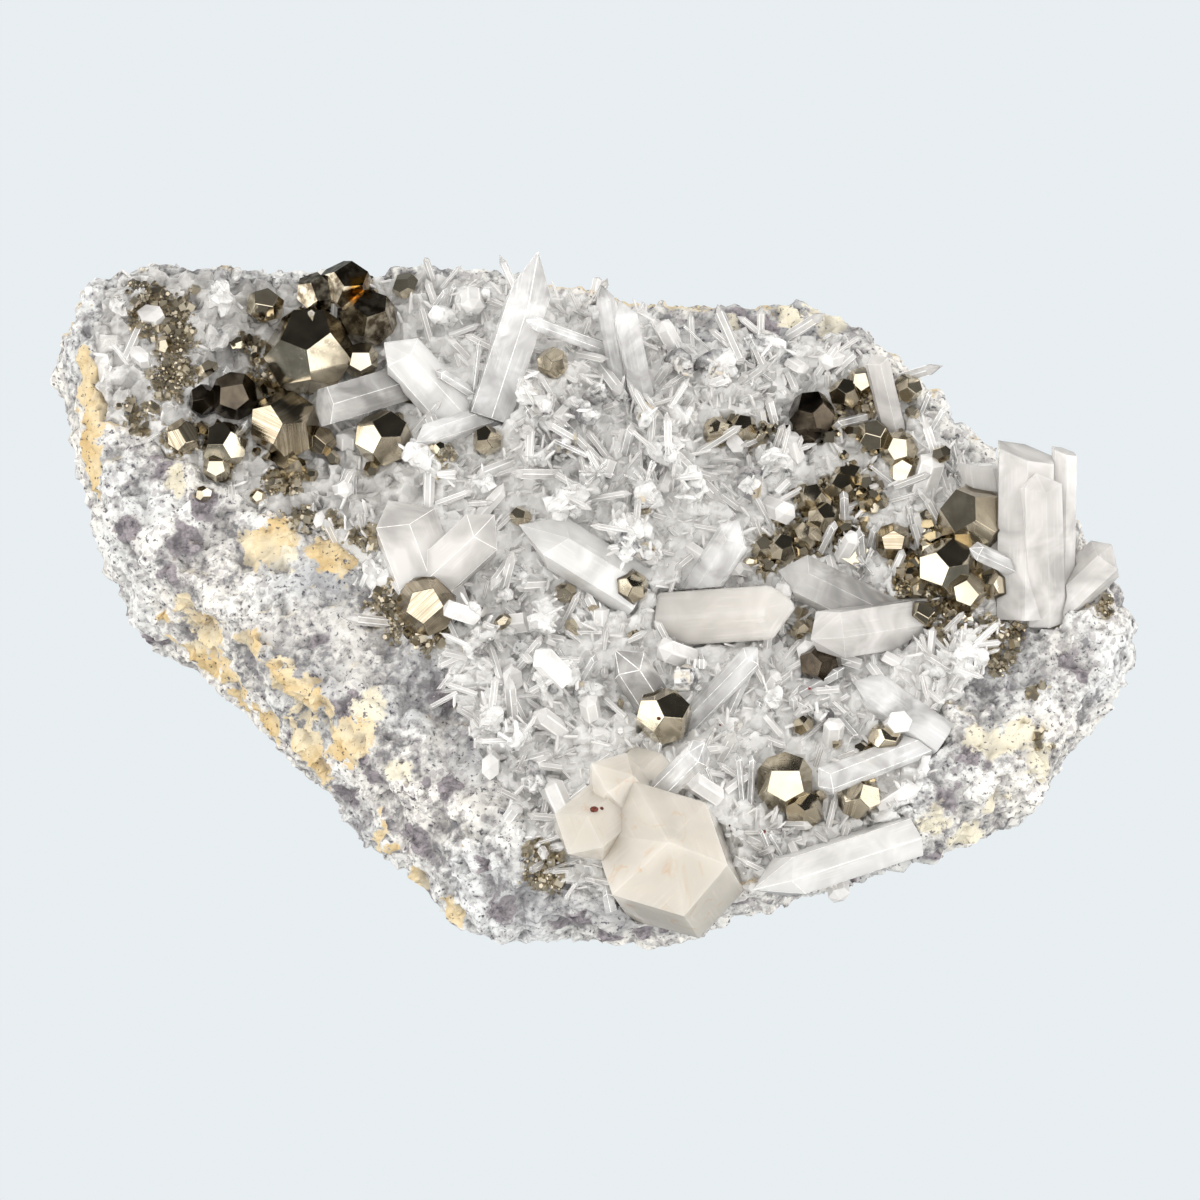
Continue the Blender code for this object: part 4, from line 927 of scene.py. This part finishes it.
# Each as seen: right of the middle, above it, radius, and how it faces.
SMALL_PYRITES = (
    (-60.8, 43.0, 1.3, "bright"), (-58.5, 43.3, 1.2, "bright"), (-57.8, 40.4, 1.0, "bright"),
    (-65.6, 38.3, 1.9, "any"), (-72.7, 42.2, 1.6, "any"), (-32.3, 52.0, 2.3, "dark"), (-27.2, 24.9, 1.3, "bright"),
    (-25.2, 24.7, 1.3, "bright"), (-27.2, 4.1, 1.6, "bright"), (-13.3, 13.7, 2.0, "any"), (-16.3, -4.2, 1.5, "dark"),
    (-4.7, -5.0, 1.7, "any"), (-5.8, 1.0, 1.8, "dark"), (5.8, -6.1, 1.2, "any"), (7.5, 15.5, 1.4, "any"),
    (3.4, -17.5, 0.9, "bright"), (6.5, -26.2, 2.2, "dark"), (33.8, -21.0, 1.8, "bright"), (33.1, -5.0, 2.0, "dark"),
    (43.7, -25.3, 1.6, "bright"), (30.6, 27.9, 1.8, "bright"), (42.6, 36.5, 1.3, "bright"), (44.2, 37.0, 1.3, "dark"),
    (42.5, 28.0, 1.8, "dark"), (48.8, 22.8, 1.6, "any"), (56.8, 24.7, 1.7, "dark"), (53.7, 13.8, 1.0, "dark"),
    (26.7, 27.0, 1.5, "dark"), (24.9, 6.2, 1.2, "any"), (45.5, 18.0, 1.5, "any"), (58.6, -1.7, 1.7, "bright"),
    (-53.0, 24.5, 1.9, "dark"), (-50.5, 22.0, 1.5, "any"), (-46.0, 38.0, 1.6, "dark"), (-55.5, 35.0, 1.6, "dark"),
    (-48.0, 20.5, 1.4, "any"), (-44.5, 23.5, 1.5, "dark"), (-62.5, 27.0, 1.5, "dark"), (-38.0, 21.5, 1.6, "any"),
    (-33.5, 30.0, 1.4, "dark"), (-63.5, 22.0, 1.4, "any"), (35.0, 12.0, 1.8, "dark"), (37.0, 9.0, 1.6, "any"),
    (33.0, 16.5, 1.6, "any"), (40.5, 12.0, 1.7, "dark"), (29.0, 8.0, 1.6, "dark"), (47.0, 27.5, 1.7, "any"),
    (51.0, 24.0, 1.6, "dark"), (38.5, 29.5, 1.6, "any"), (33.0, 30.5, 1.5, "dark"), (52.0, 31.0, 1.5, "dark"),
    (22.0, 26.5, 1.5, "dark"), (55.0, 8.0, 1.8, "dark"), (52.0, 4.0, 1.6, "any"), (62.5, 5.0, 1.7, "dark"),
    (64.5, 9.0, 1.5, "any"), (51.5, 0.0, 1.5, "dark"), (55.5, -3.5, 1.5, "any"), (61.5, -3.5, 1.3, "any"),
    (29.5, -30.0, 1.5, "dark"), (36.5, -33.0, 1.5, "any"), (45.5, -31.5, 1.4, "dark"), (39.5, -24.0, 1.3, "any"),
    (-66.0, 17.5, 1.5, "any"), (-57.0, 17.0, 1.4, "dark"), (11.0, -20.5, 1.3, "any"), (-1.0, -1.5, 1.2, "any"),
)


def hulled(bm, corners):
    """The flat-faced solid round these corners."""
    verts = [bm.verts.new(corner) for corner in corners]
    made = bmesh.ops.convex_hull(bm, input=verts)
    faces = [f for f in made["geom"] if isinstance(f, bmesh.types.BMFace)]
    rims = list(dict.fromkeys(e for f in faces for e in f.edges))
    bmesh.ops.dissolve_limit(bm, angle_limit=math.radians(1), edges=rims, verts=verts)


def pyritohedron(bm, centre, radius, turn, growth):
    """Twelve five-sided faces: the form that pyrite is named for, grown by its own amount each way."""
    corners = [Vector((x, y, z)) for x in (-1, 1) for y in (-1, 1) for z in (-1, 1)]
    for long in (-1.5, 1.5):
        for short in (-0.75, 0.75):
            corners += [Vector((0, long, short)), Vector((short, 0, long)), Vector((long, short, 0))]
    hulled(bm, [centre + turn @ (corner * growth * radius / math.sqrt(3)) for corner in corners])


FACE_NORMAL = Vector((0, 1.0, 0.5)).normalized()
DARK_WAY = (TO_EYE + Vector(BACK_WAY).normalized()).normalized()
random.seed(SMALL_SEED)
bm = bmesh.new()
for across, up, radius, facing in SMALL_PYRITES:
    point, normal = seen(across, up)
    if point is None:
        continue
    sway = Vector([random.uniform(-1, 1) for _ in range(3)])
    towards = {"bright": TO_EYE + 0.1 * sway, "dark": DARK_WAY + 0.12 * sway, "any": sway}[facing].normalized()
    growth = Vector([random.uniform(0.7, 1.2) for _ in range(3)])
    face = Vector([n / g for n, g in zip(FACE_NORMAL, growth)]).normalized()
    turn = face.rotation_difference(towards).to_matrix()
    turn = Matrix.Rotation(random.uniform(0, math.tau), 3, towards) @ turn
    pyritohedron(bm, point + normal * radius * (1 - 2 * SMALL_SINK) * MM, radius * MM, turn, growth)
bmesh.ops.recalc_face_normals(bm, faces=bm.faces)
face_map(bm)
mesh = bpy.data.meshes.new("pyrite_small")
bm.to_mesh(mesh)
bm.free()
small_pyrites = bpy.data.objects.new("pyrite_small", mesh)
bpy.context.scene.collection.objects.link(small_pyrites)
mesh.materials.append(pyrite)
show_on_root(small_pyrites, "pyrite")


# The pyrite crusts: thin coats of crystals no larger than grains of sand, in patches on the quartz
# and the rock. Each grain is a tiny cube or a rounder many-faced form.


def crust_tree():
    """Packs tiny crystals over the painted patches of a surface."""
    tree, given = new_geometry_tree(
        "pyrite_crust", {"Spacing": 0.5 * MM, "Crowding": 3.0e6, "Grain": 0.9 * MM, "Seed": 1}
    )
    tree.interface.new_socket("Finish", in_out="INPUT", socket_type="NodeSocketMaterial")
    given = tree.nodes["Group Input"].outputs
    patch = add(tree, "GeometryNodeInputNamedAttribute", {0: "crust"}).outputs[0]
    place = add(tree, "GeometryNodeInputPosition").outputs[0]
    gaps = add(tree, "ShaderNodeTexNoise", {0: place, "Scale": 1 / (2.2 * MM), "Detail": 2.0}).outputs[0]
    packed = add(tree, "ShaderNodeMath", {0: ramp(tree, patch, 0.1, 0.5), 1: ramp(tree, gaps, 0.27, 0.38)}, operation="MULTIPLY").outputs[0]
    seeds = add(
        tree,
        "GeometryNodeDistributePointsOnFaces",
        {
            "Mesh": given["Geometry"],
            "Distance Min": given["Spacing"],
            "Density Max": given["Crowding"],
            "Density Factor": packed,
            "Seed": given["Seed"],
        },
        distribute_method="POISSON",
    )
    forms = add(tree, "GeometryNodeJoinGeometry")
    cube = add(tree, "GeometryNodeMeshCube", {"Size": (0.8, 0.8, 0.8)}).outputs[0]
    ball = add(tree, "GeometryNodeMeshIcoSphere", {"Radius": 0.56, "Subdivisions": 1}).outputs[0]
    twelve_faces = add(tree, "GeometryNodeDualMesh", {0: ball}).outputs[0]
    for form in (cube, twelve_faces, twelve_faces, twelve_faces):
        instance = add(tree, "GeometryNodeGeometryToInstance", {0: form}).outputs[0]
        tree.links.new(instance, forms.inputs[0])
    turned = add(
        tree, "FunctionNodeRandomValue", {0: (0, 0, 0), 1: (6.3, 6.3, 6.3), "Seed": given["Seed"]}, data_type="FLOAT_VECTOR"
    ).outputs[0]
    luck = add(tree, "FunctionNodeRandomValue", {2: 0.0, 3: 1.0, "Seed": given["Seed"]}, data_type="FLOAT").outputs[1]
    rare = add(tree, "ShaderNodeMath", {0: luck, 1: 3.0}, operation="POWER").outputs[0]
    size = add(tree, "ShaderNodeMath", {0: ramp(tree, rare, 0, 1, 0.55, 1.6), 1: given["Grain"]}, operation="MULTIPLY").outputs[0]
    spread = add(
        tree,
        "GeometryNodeInstanceOnPoints",
        {"Points": seeds.outputs["Points"], "Instance": forms.outputs[0], "Pick Instance": True, "Rotation": turned, "Scale": size},
    ).outputs[0]
    real = add(tree, "GeometryNodeRealizeInstances", {0: spread}).outputs[0]
    done = add(tree, "GeometryNodeSetMaterial", {"Geometry": real, "Material": given["Finish"]}).outputs[0]
    add(tree, "NodeGroupOutput", {0: done})
    return tree


packed_crust = crust_tree()
grained_pyrite = pyrite_metal("pyrite_fine_grained", 0.24, 0.42)
# Each coat: what it lies on, its patches, spacing, most grains for each square metre, grain, seed and
# finish.
COATS = {
    "pyrite_crust_on_rock": (rock, CRUSTS, 0.45 * MM, 7.0e6, 1.1 * MM, 4, grained_pyrite),
    "pyrite_crust_on_quartz": (bed, CRUSTS, 0.45 * MM, 7.0e6, 1.1 * MM, 6, grained_pyrite),
    "pyrite_in_hollows": (bed, HOLLOWS, 1.5 * MM, 0.9e6, 3.0 * MM, 9, pyrite),
}
for name, (ground_piece, patches, spacing, crowding, grain, seed, finish) in COATS.items():
    crust = bpy.data.objects.new(name, ground_piece.data.copy())
    bpy.context.scene.collection.objects.link(crust)
    paint(crust.data, warped(crust.data, RAGGED_SIZE, RAGGED_REACH), "crust", patches)
    run_geometry(
        crust,
        packed_crust,
        Spacing=spacing,
        Crowding=crowding,
        Grain=grain,
        Seed=seed,
        Finish=finish,
    )
    finished(crust)
    show_on_root(crust, "pyrite")


# The larger quartz crystals: clear to milky prisms, see-through at the edges and clouded inside,
# with fine growth lines across their faces. The two cream ones are fuller of fine inclusions.
QUARTZ_EDGE, CREAM_EDGE = 0.08 * MM, 0.7 * MM
QUARTZ_LINES = 0.5 * MM
CREAM = ("quartz_cream_block", "quartz_cream_point")
MILKY = ("quartz_right_column", "quartz_cloudy_block", "quartz_left_block", "quartz_top_right", "quartz_right_stub")
BRIGHT = ("quartz_long_front", "quartz_middle_cigar", "quartz_milky_left")
SMOKY = ("quartz_striated_plate", "quartz_window_tip", "quartz_grey_block")


def rock_crystal(name, clear_low, clear_high, tint, veil_tint, veil_size, streaked, phantom=None, depth_lit=2.5 * MM):
    """Quartz, as grown: glassy lined faces over a body that is clouded by veils of tiny bubbles. A
    phantom is a thin coloured layer that settled on it while it grew."""
    made, tree = new_material(name)
    facets = add(tree, "ShaderNodeUVMap", uv_map="facets").outputs[0]
    place = add(tree, "ShaderNodeTexCoord").outputs["Object"]
    squeezed = add(tree, "ShaderNodeMapping", {0: facets, 3: (0.12, 1 / (QUARTZ_LINES / MM), 1)})
    lines = add(tree, "ShaderNodeTexNoise", {0: squeezed.outputs[0], "Scale": 1.0, "Detail": 2.0}).outputs[0]
    lined = add(tree, "ShaderNodeAttribute", attribute_name="lined").outputs["Fac"]
    depth = add(tree, "ShaderNodeMath", {0: lines, 1: lined}, operation="MULTIPLY").outputs[0]
    bump = add(tree, "ShaderNodeBump", {"Strength": 0.25, "Distance": 0.06 * MM, "Height": depth})
    veils = add(
        tree,
        "ShaderNodeTexNoise",
        {0: place, "Scale": 1 / veil_size, "Detail": 3.0, "Roughness": 0.5, "Distortion": 0.8},
    ).outputs[0]
    veiled = ramp(tree, veils, 0.36, 0.64, 0.0, 0.75)
    patchy = add(tree, "ShaderNodeTexNoise", {0: place, "Scale": 1 / (5 * MM), "Detail": 2.0}).outputs[0]
    streak = add(
        tree, "ShaderNodeMath", {0: ramp(tree, lines, 0.5, 0.72, 0.0, streaked), 1: ramp(tree, patchy, 0.42, 0.6)},
        operation="MULTIPLY",
    ).outputs[0]
    clouded = add(tree, "ShaderNodeMath", {0: veiled, 1: streak}, operation="ADD", use_clamp=True).outputs[0]
    colour = mix(tree, clouded, linear(tint), linear(veil_tint))
    if phantom:
        off = add(tree, "ShaderNodeMath", {0: veils, 1: 0.5}, operation="SUBTRACT").outputs[0]
        off = add(tree, "ShaderNodeMath", {0: off}, operation="ABSOLUTE").outputs[0]
        where = add(tree, "ShaderNodeTexNoise", {0: place, "Scale": 1 / (3 * MM), "Detail": 3.0}).outputs[0]
        trace = add(
            tree, "ShaderNodeMath", {0: ramp(tree, off, 0.02, 0.0), 1: ramp(tree, where, 0.45, 0.8, 0.0, 0.6)}, operation="MULTIPLY"
        ).outputs[0]
        colour = mix(tree, trace, colour, linear(phantom))
    shader = add(
        tree,
        "ShaderNodeBsdfPrincipled",
        {
            "Base Color": colour,
            "IOR": 1.544,
            "Transmission Weight": ramp(tree, clouded, 0.0, 1.0, clear_high, clear_low),
            "Roughness": 0.07,
            "Subsurface Weight": 0.8,
            "Subsurface Radius": (1, 1, 1),
            "Subsurface Scale": depth_lit,
            "Normal": bump.outputs[0],
        },
    )
    add(tree, "ShaderNodeOutputMaterial", {0: shader.outputs[0]})
    return made


def painted_edge_highlight(name, dull, white):
    """Painted highlight for quartz edges: a rough finish broken from dull to white by fine noise, so an edge shows
    white.
    """
    made, tree = new_material(name)
    place = add(tree, "ShaderNodeTexCoord").outputs["Object"]
    chips = add(tree, "ShaderNodeTexNoise", {0: place, "Scale": 1 / (0.8 * MM), "Detail": 2.0}).outputs[0]
    colour = mix(tree, ramp(tree, chips, 0.4, 0.55), linear(dull), linear(white))
    shader = add(tree, "ShaderNodeBsdfPrincipled", {"Base Color": colour, "Roughness": 0.35, "IOR": 1.544})
    add(tree, "ShaderNodeOutputMaterial", {0: shader.outputs[0]})
    return made


clear_quartz = rock_crystal("quartz_clear_to_milky", 0.25, 0.75, "#F3F2F1", "#FBFAF9", 7.0 * MM, 0.35)
bright_quartz = rock_crystal("quartz_milky_white", 0.15, 0.4, "#E6E5E3", "#F5F4F2", 8.0 * MM, 0.3)
milky_quartz = rock_crystal("quartz_milky_warm", 0.15, 0.5, "#D7D4D1", "#ECE9E6", 9.0 * MM, 0.2)
smoky_quartz = rock_crystal("quartz_faintly_smoky", 0.2, 0.55, "#BDBBB9", "#DBD9D6", 6.0 * MM, 0.25)
cream_quartz = rock_crystal("quartz_cream", 0.12, 0.2, "#CDC8BE", "#D5CEC4", 9.0 * MM, 0.6, "#CF9A5C", 6 * MM)
pale_cream_quartz = rock_crystal("quartz_pale_cream", 0.15, 0.3, "#D6D2CC", "#DEDAD5", 9.0 * MM, 0.5, None, 6 * MM)
# Painted highlights for the bevelled edges of the quartz.
edges = painted_edge_highlight("quartz_edge_painted_highlight", "#CCCAC8", "#FAF9F7")
soft_edge_highlights = painted_edge_highlight("quartz_edge_soft_painted_highlight", "#D6D4D1", "#EFEDEA")
for name in [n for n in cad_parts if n.startswith("quartz_") and n != "quartz_druse"]:
    if name in CREAM:
        body = cream_quartz if name == CREAM[0] else pale_cream_quartz
        crystal = dressed(name, CREAM_EDGE, 0.0, body, rounds=3)
    else:
        body = smoky_quartz if name in SMOKY else milky_quartz if name in MILKY else clear_quartz
        body = bright_quartz if name in BRIGHT else body
        crystal = dressed(name, QUARTZ_EDGE, 0.2, body, soft_edge_highlights if name in MILKY + BRIGHT else edges)
    show_on_root(crystal, "cream_quartz" if name in CREAM else "quartz", name)


# The single quartz crystals: slim clear prisms of a few millimetres that stand out from the druse,
# each with a six-sided point. A speck of red iron oxide sits in the clearest one, and rust-brown
# ones lie on the cream crystals.
# Each as seen, in millimetres: its root, its tip, its width and how far the tip comes forward.
SINGLES = (
    (-25.3, 49.0, -24.2, 52.8, 1.1, 1.5), (-28.0, 48.3, -25.3, 52.0, 1.2, 1.5), (-21.0, 34.7, -20.0, 43.3, 1.0, 2.0),
    (-18.3, 38.0, -17.8, 42.5, 1.0, 2.0), (-15.8, 30.0, -19.3, 37.7, 3.4, 3.0), (-21.7, 34.7, -27.5, 38.3, 2.0, 3.0),
    (-9.2, 26.7, -12.5, 32.5, 1.4, 2.0), (-6.7, 26.2, -1.7, 23.8, 1.0, 1.5), (4.2, 25.0, 5.3, 29.5, 2.0, 2.5),
    (18.7, 41.3, 13.7, 45.8, 0.6, 2.0), (6.7, 39.7, 3.0, 43.3, 0.9, 2.0), (-1.7, 40.0, -6.7, 37.5, 0.8, 2.0),
    (43.7, 30.3, 38.5, 29.0, 1.8, 2.0), (40.8, 13.3, 40.5, 18.3, 1.8, 3.0), (36.7, 8.0, 39.2, 13.2, 1.7, 3.0),
    (43.7, 6.7, 43.0, 12.0, 2.0, 3.5), (45.0, 9.2, 45.7, 12.5, 1.4, 2.5), (42.0, 7.0, 39.7, 10.3, 0.9, 2.5),
    (52.5, 10.8, 51.3, 16.2, 1.1, 3.0), (53.7, 31.7, 55.0, 35.0, 1.2, 1.0), (55.6, 29.0, 57.5, 32.3, 1.3, 1.0),
    (48.0, 20.0, 44.7, 22.5, 0.8, 2.0), (59.5, 23.0, 58.5, 27.0, 1.1, 2.0), (34.2, -15.0, 40.8, -11.3, 2.4, 2.5),
    (40.3, -20.0, 43.2, -23.3, 1.4, 2.0), (28.7, -19.0, 26.0, -16.7, 1.1, 1.5), (29.2, -44.2, 26.7, -38.0, 1.1, 2.0),
    (30.7, -43.3, 28.0, -38.7, 0.9, 2.0), (25.0, -33.3, 25.3, -25.8, 1.4, 1.5), (23.7, -33.3, 23.0, -25.8, 1.3, 1.5),
    (32.5, -36.7, 30.0, -33.0, 0.8, 2.5), (1.7, -50.8, 1.0, -47.5, 2.2, 1.5), (9.2, -28.3, 10.0, -23.3, 1.0, 1.5),
    (19.2, -31.7, 17.5, -27.5, 0.8, 1.5), (18.3, -32.0, 17.0, -28.7, 0.6, 1.5), (-50.0, 47.7, -48.5, 50.2, 1.1, 1.5),
    (-42.5, 21.0, -43.7, 17.5, 1.4, 1.5), (-41.0, 20.0, -41.0, 16.5, 1.2, 1.5), (-62.5, 36.5, -62.0, 39.0, 1.6, 1.5),
    (-60.0, 27.5, -58.5, 30.0, 1.5, 1.5), (22.0, -18.0, 25.7, -9.7, 1.8, 2.0), (46.0, -15.5, 49.0, -19.0, 1.2, 1.5),
    (62.0, 12.5, 58.0, 14.5, 1.2, 2.0), (-3.0, -13.3, -0.5, -9.0, 1.6, 1.5), (-6.7, -9.0, -4.3, -12.5, 1.2, 1.5),
)
# Where a dozen thin needles spread from one root: its place as seen, and their length.
SPRAYS = ((44.2, 5.8, 4.0), (38.0, 19.0, 2.5), (-0.5, 21.0, 4.5), (7.5, 19.5, 4.0), (59.0, 21.0, 3.5), (26.0, 38.5, 5.0))
SPRAY_NEEDLES = 14
# Each speck as seen, with its radius and colour.
SPECKS = (
    (34.9, -14.7, 0.35, "crimson"), (-0.9, -35.0, 0.75, "rust"), (0.3, -34.8, 0.4, "rust"), (27.4, -38.6, 0.45, "rust"),
    (9.8, -19.7, 0.4, "rust"), (21.6, -37.6, 0.3, "rust"), (21.9, -38.5, 0.25, "rust"), (20.0, -20.8, 0.3, "rust"),
)


def quartz_point(bm, root, tip, width, turn):
    """A six-sided prism with a six-faced point, three of its faces larger, as quartz grows."""
    length = (tip - root).length
    stand = (tip - root).to_track_quat("Z", "Y").to_matrix() @ Matrix.Rotation(turn, 3, "Z")
    corners = [Vector((0.08 * width, 0, length))]
    for corner in range(6):
        out = Matrix.Rotation(math.radians(60 * corner), 3, "Z") @ Vector((width / 2, 0, 0))
        shoulder = length - width * (0.5 if corner % 2 else 0.85)
        corners += [out, out * 0.93 + Vector((0, 0, max(shoulder, 0.2 * length)))]
    hulled(bm, [root + stand @ corner for corner in corners])


random.seed(31)
bm = bmesh.new()
for across, up, tip_across, tip_up, width, forward in SINGLES:
    root, normal = seen(across, up)
    if root is None:
        continue
    reach = Vector(((tip_across - across) * MM, 0, 0)) + VIEW_UP * ((tip_up - up) * MM) + TO_EYE * (forward * MM)
    quartz_point(bm, root - reach.normalized() * 0.8 * MM, root + reach, width * MM, random.uniform(0, 1))
for across, up, length in SPRAYS:
    root, normal = seen(across, up)
    if root is None:
        continue
    for needle in range(SPRAY_NEEDLES):
        way = (normal * 0.7 + Vector([random.uniform(-1, 1) for _ in range(3)])).normalized()
        reach = way * length * random.uniform(0.6, 1.1) * MM
        quartz_point(bm, root - way * 0.5 * MM, root + reach, random.uniform(0.35, 0.7) * MM, random.uniform(0, 1))
bmesh.ops.recalc_face_normals(bm, faces=bm.faces)
face_map(bm, 0.3)
mesh = bpy.data.meshes.new("quartz_single_crystals")
bm.to_mesh(mesh)
bm.free()
singles = bpy.data.objects.new("quartz_single_crystals", mesh)
bpy.context.scene.collection.objects.link(singles)
mesh.materials.append(rock_crystal("quartz_clear_slim", 0.3, 0.7, "#EDECEB", "#F9F8F7", 4.0 * MM, 0.3))
# The bevelled edges take the painted edge highlight.
mesh.materials.append(edges)
broken = singles.modifiers.new("broken_edges", "BEVEL")
broken.width = 0.07 * MM
broken.segments = 1
broken.limit_method = "ANGLE"
broken.angle_limit = math.radians(22)
broken.material = 1
finished(singles)
show_on_root(singles, "quartz")


def iron_oxide(name, colour, bright):
    """Iron oxide: a dull crumb, red to brown."""
    made, tree = new_material(name)
    place = add(tree, "ShaderNodeTexCoord").outputs["Object"]
    grain = add(tree, "ShaderNodeTexNoise", {0: place, "Scale": 1 / (0.3 * MM), "Detail": 2.0}).outputs[0]
    tint = mix(tree, ramp(tree, grain, 0.4, 0.6), linear(colour), linear(bright))
    shader = add(tree, "ShaderNodeBsdfPrincipled", {"Base Color": tint, "Roughness": 0.6})
    add(tree, "ShaderNodeOutputMaterial", {0: shader.outputs[0]})
    return made


outside = bmesh.new()
for piece in [singles.data] + [n.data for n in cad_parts.values()]:
    outside.from_mesh(piece)
outside_tree = BVHTree.FromBMesh(outside)
outside.free()
for kind, dark, bright in (("crimson", "#8E1626", "#B8213A"), ("rust", "#4A1E14", "#7A3220")):
    bm = bmesh.new()
    for across, up, radius, speck_kind in SPECKS:
        point, normal = seen(across, up, on=outside_tree)
        if speck_kind != kind or point is None:
            continue
        crumb = bmesh.ops.create_icosphere(bm, subdivisions=2, radius=radius * MM)["verts"]
        for vert in crumb:
            vert.co *= 0.75 + 0.6 * noise.noise(vert.co * 900 + Vector((across, up, 0)))
            vert.co = point + vert.co
    mesh = bpy.data.meshes.new("iron_oxide_" + kind)
    bm.to_mesh(mesh)
    bm.free()
    mesh.materials.append(iron_oxide("iron_oxide_" + kind, dark, bright))
    specks = bpy.data.objects.new("iron_oxide_" + kind, mesh)
    bpy.context.scene.collection.objects.link(specks)
    show_on_root(specks, "altered_rock")
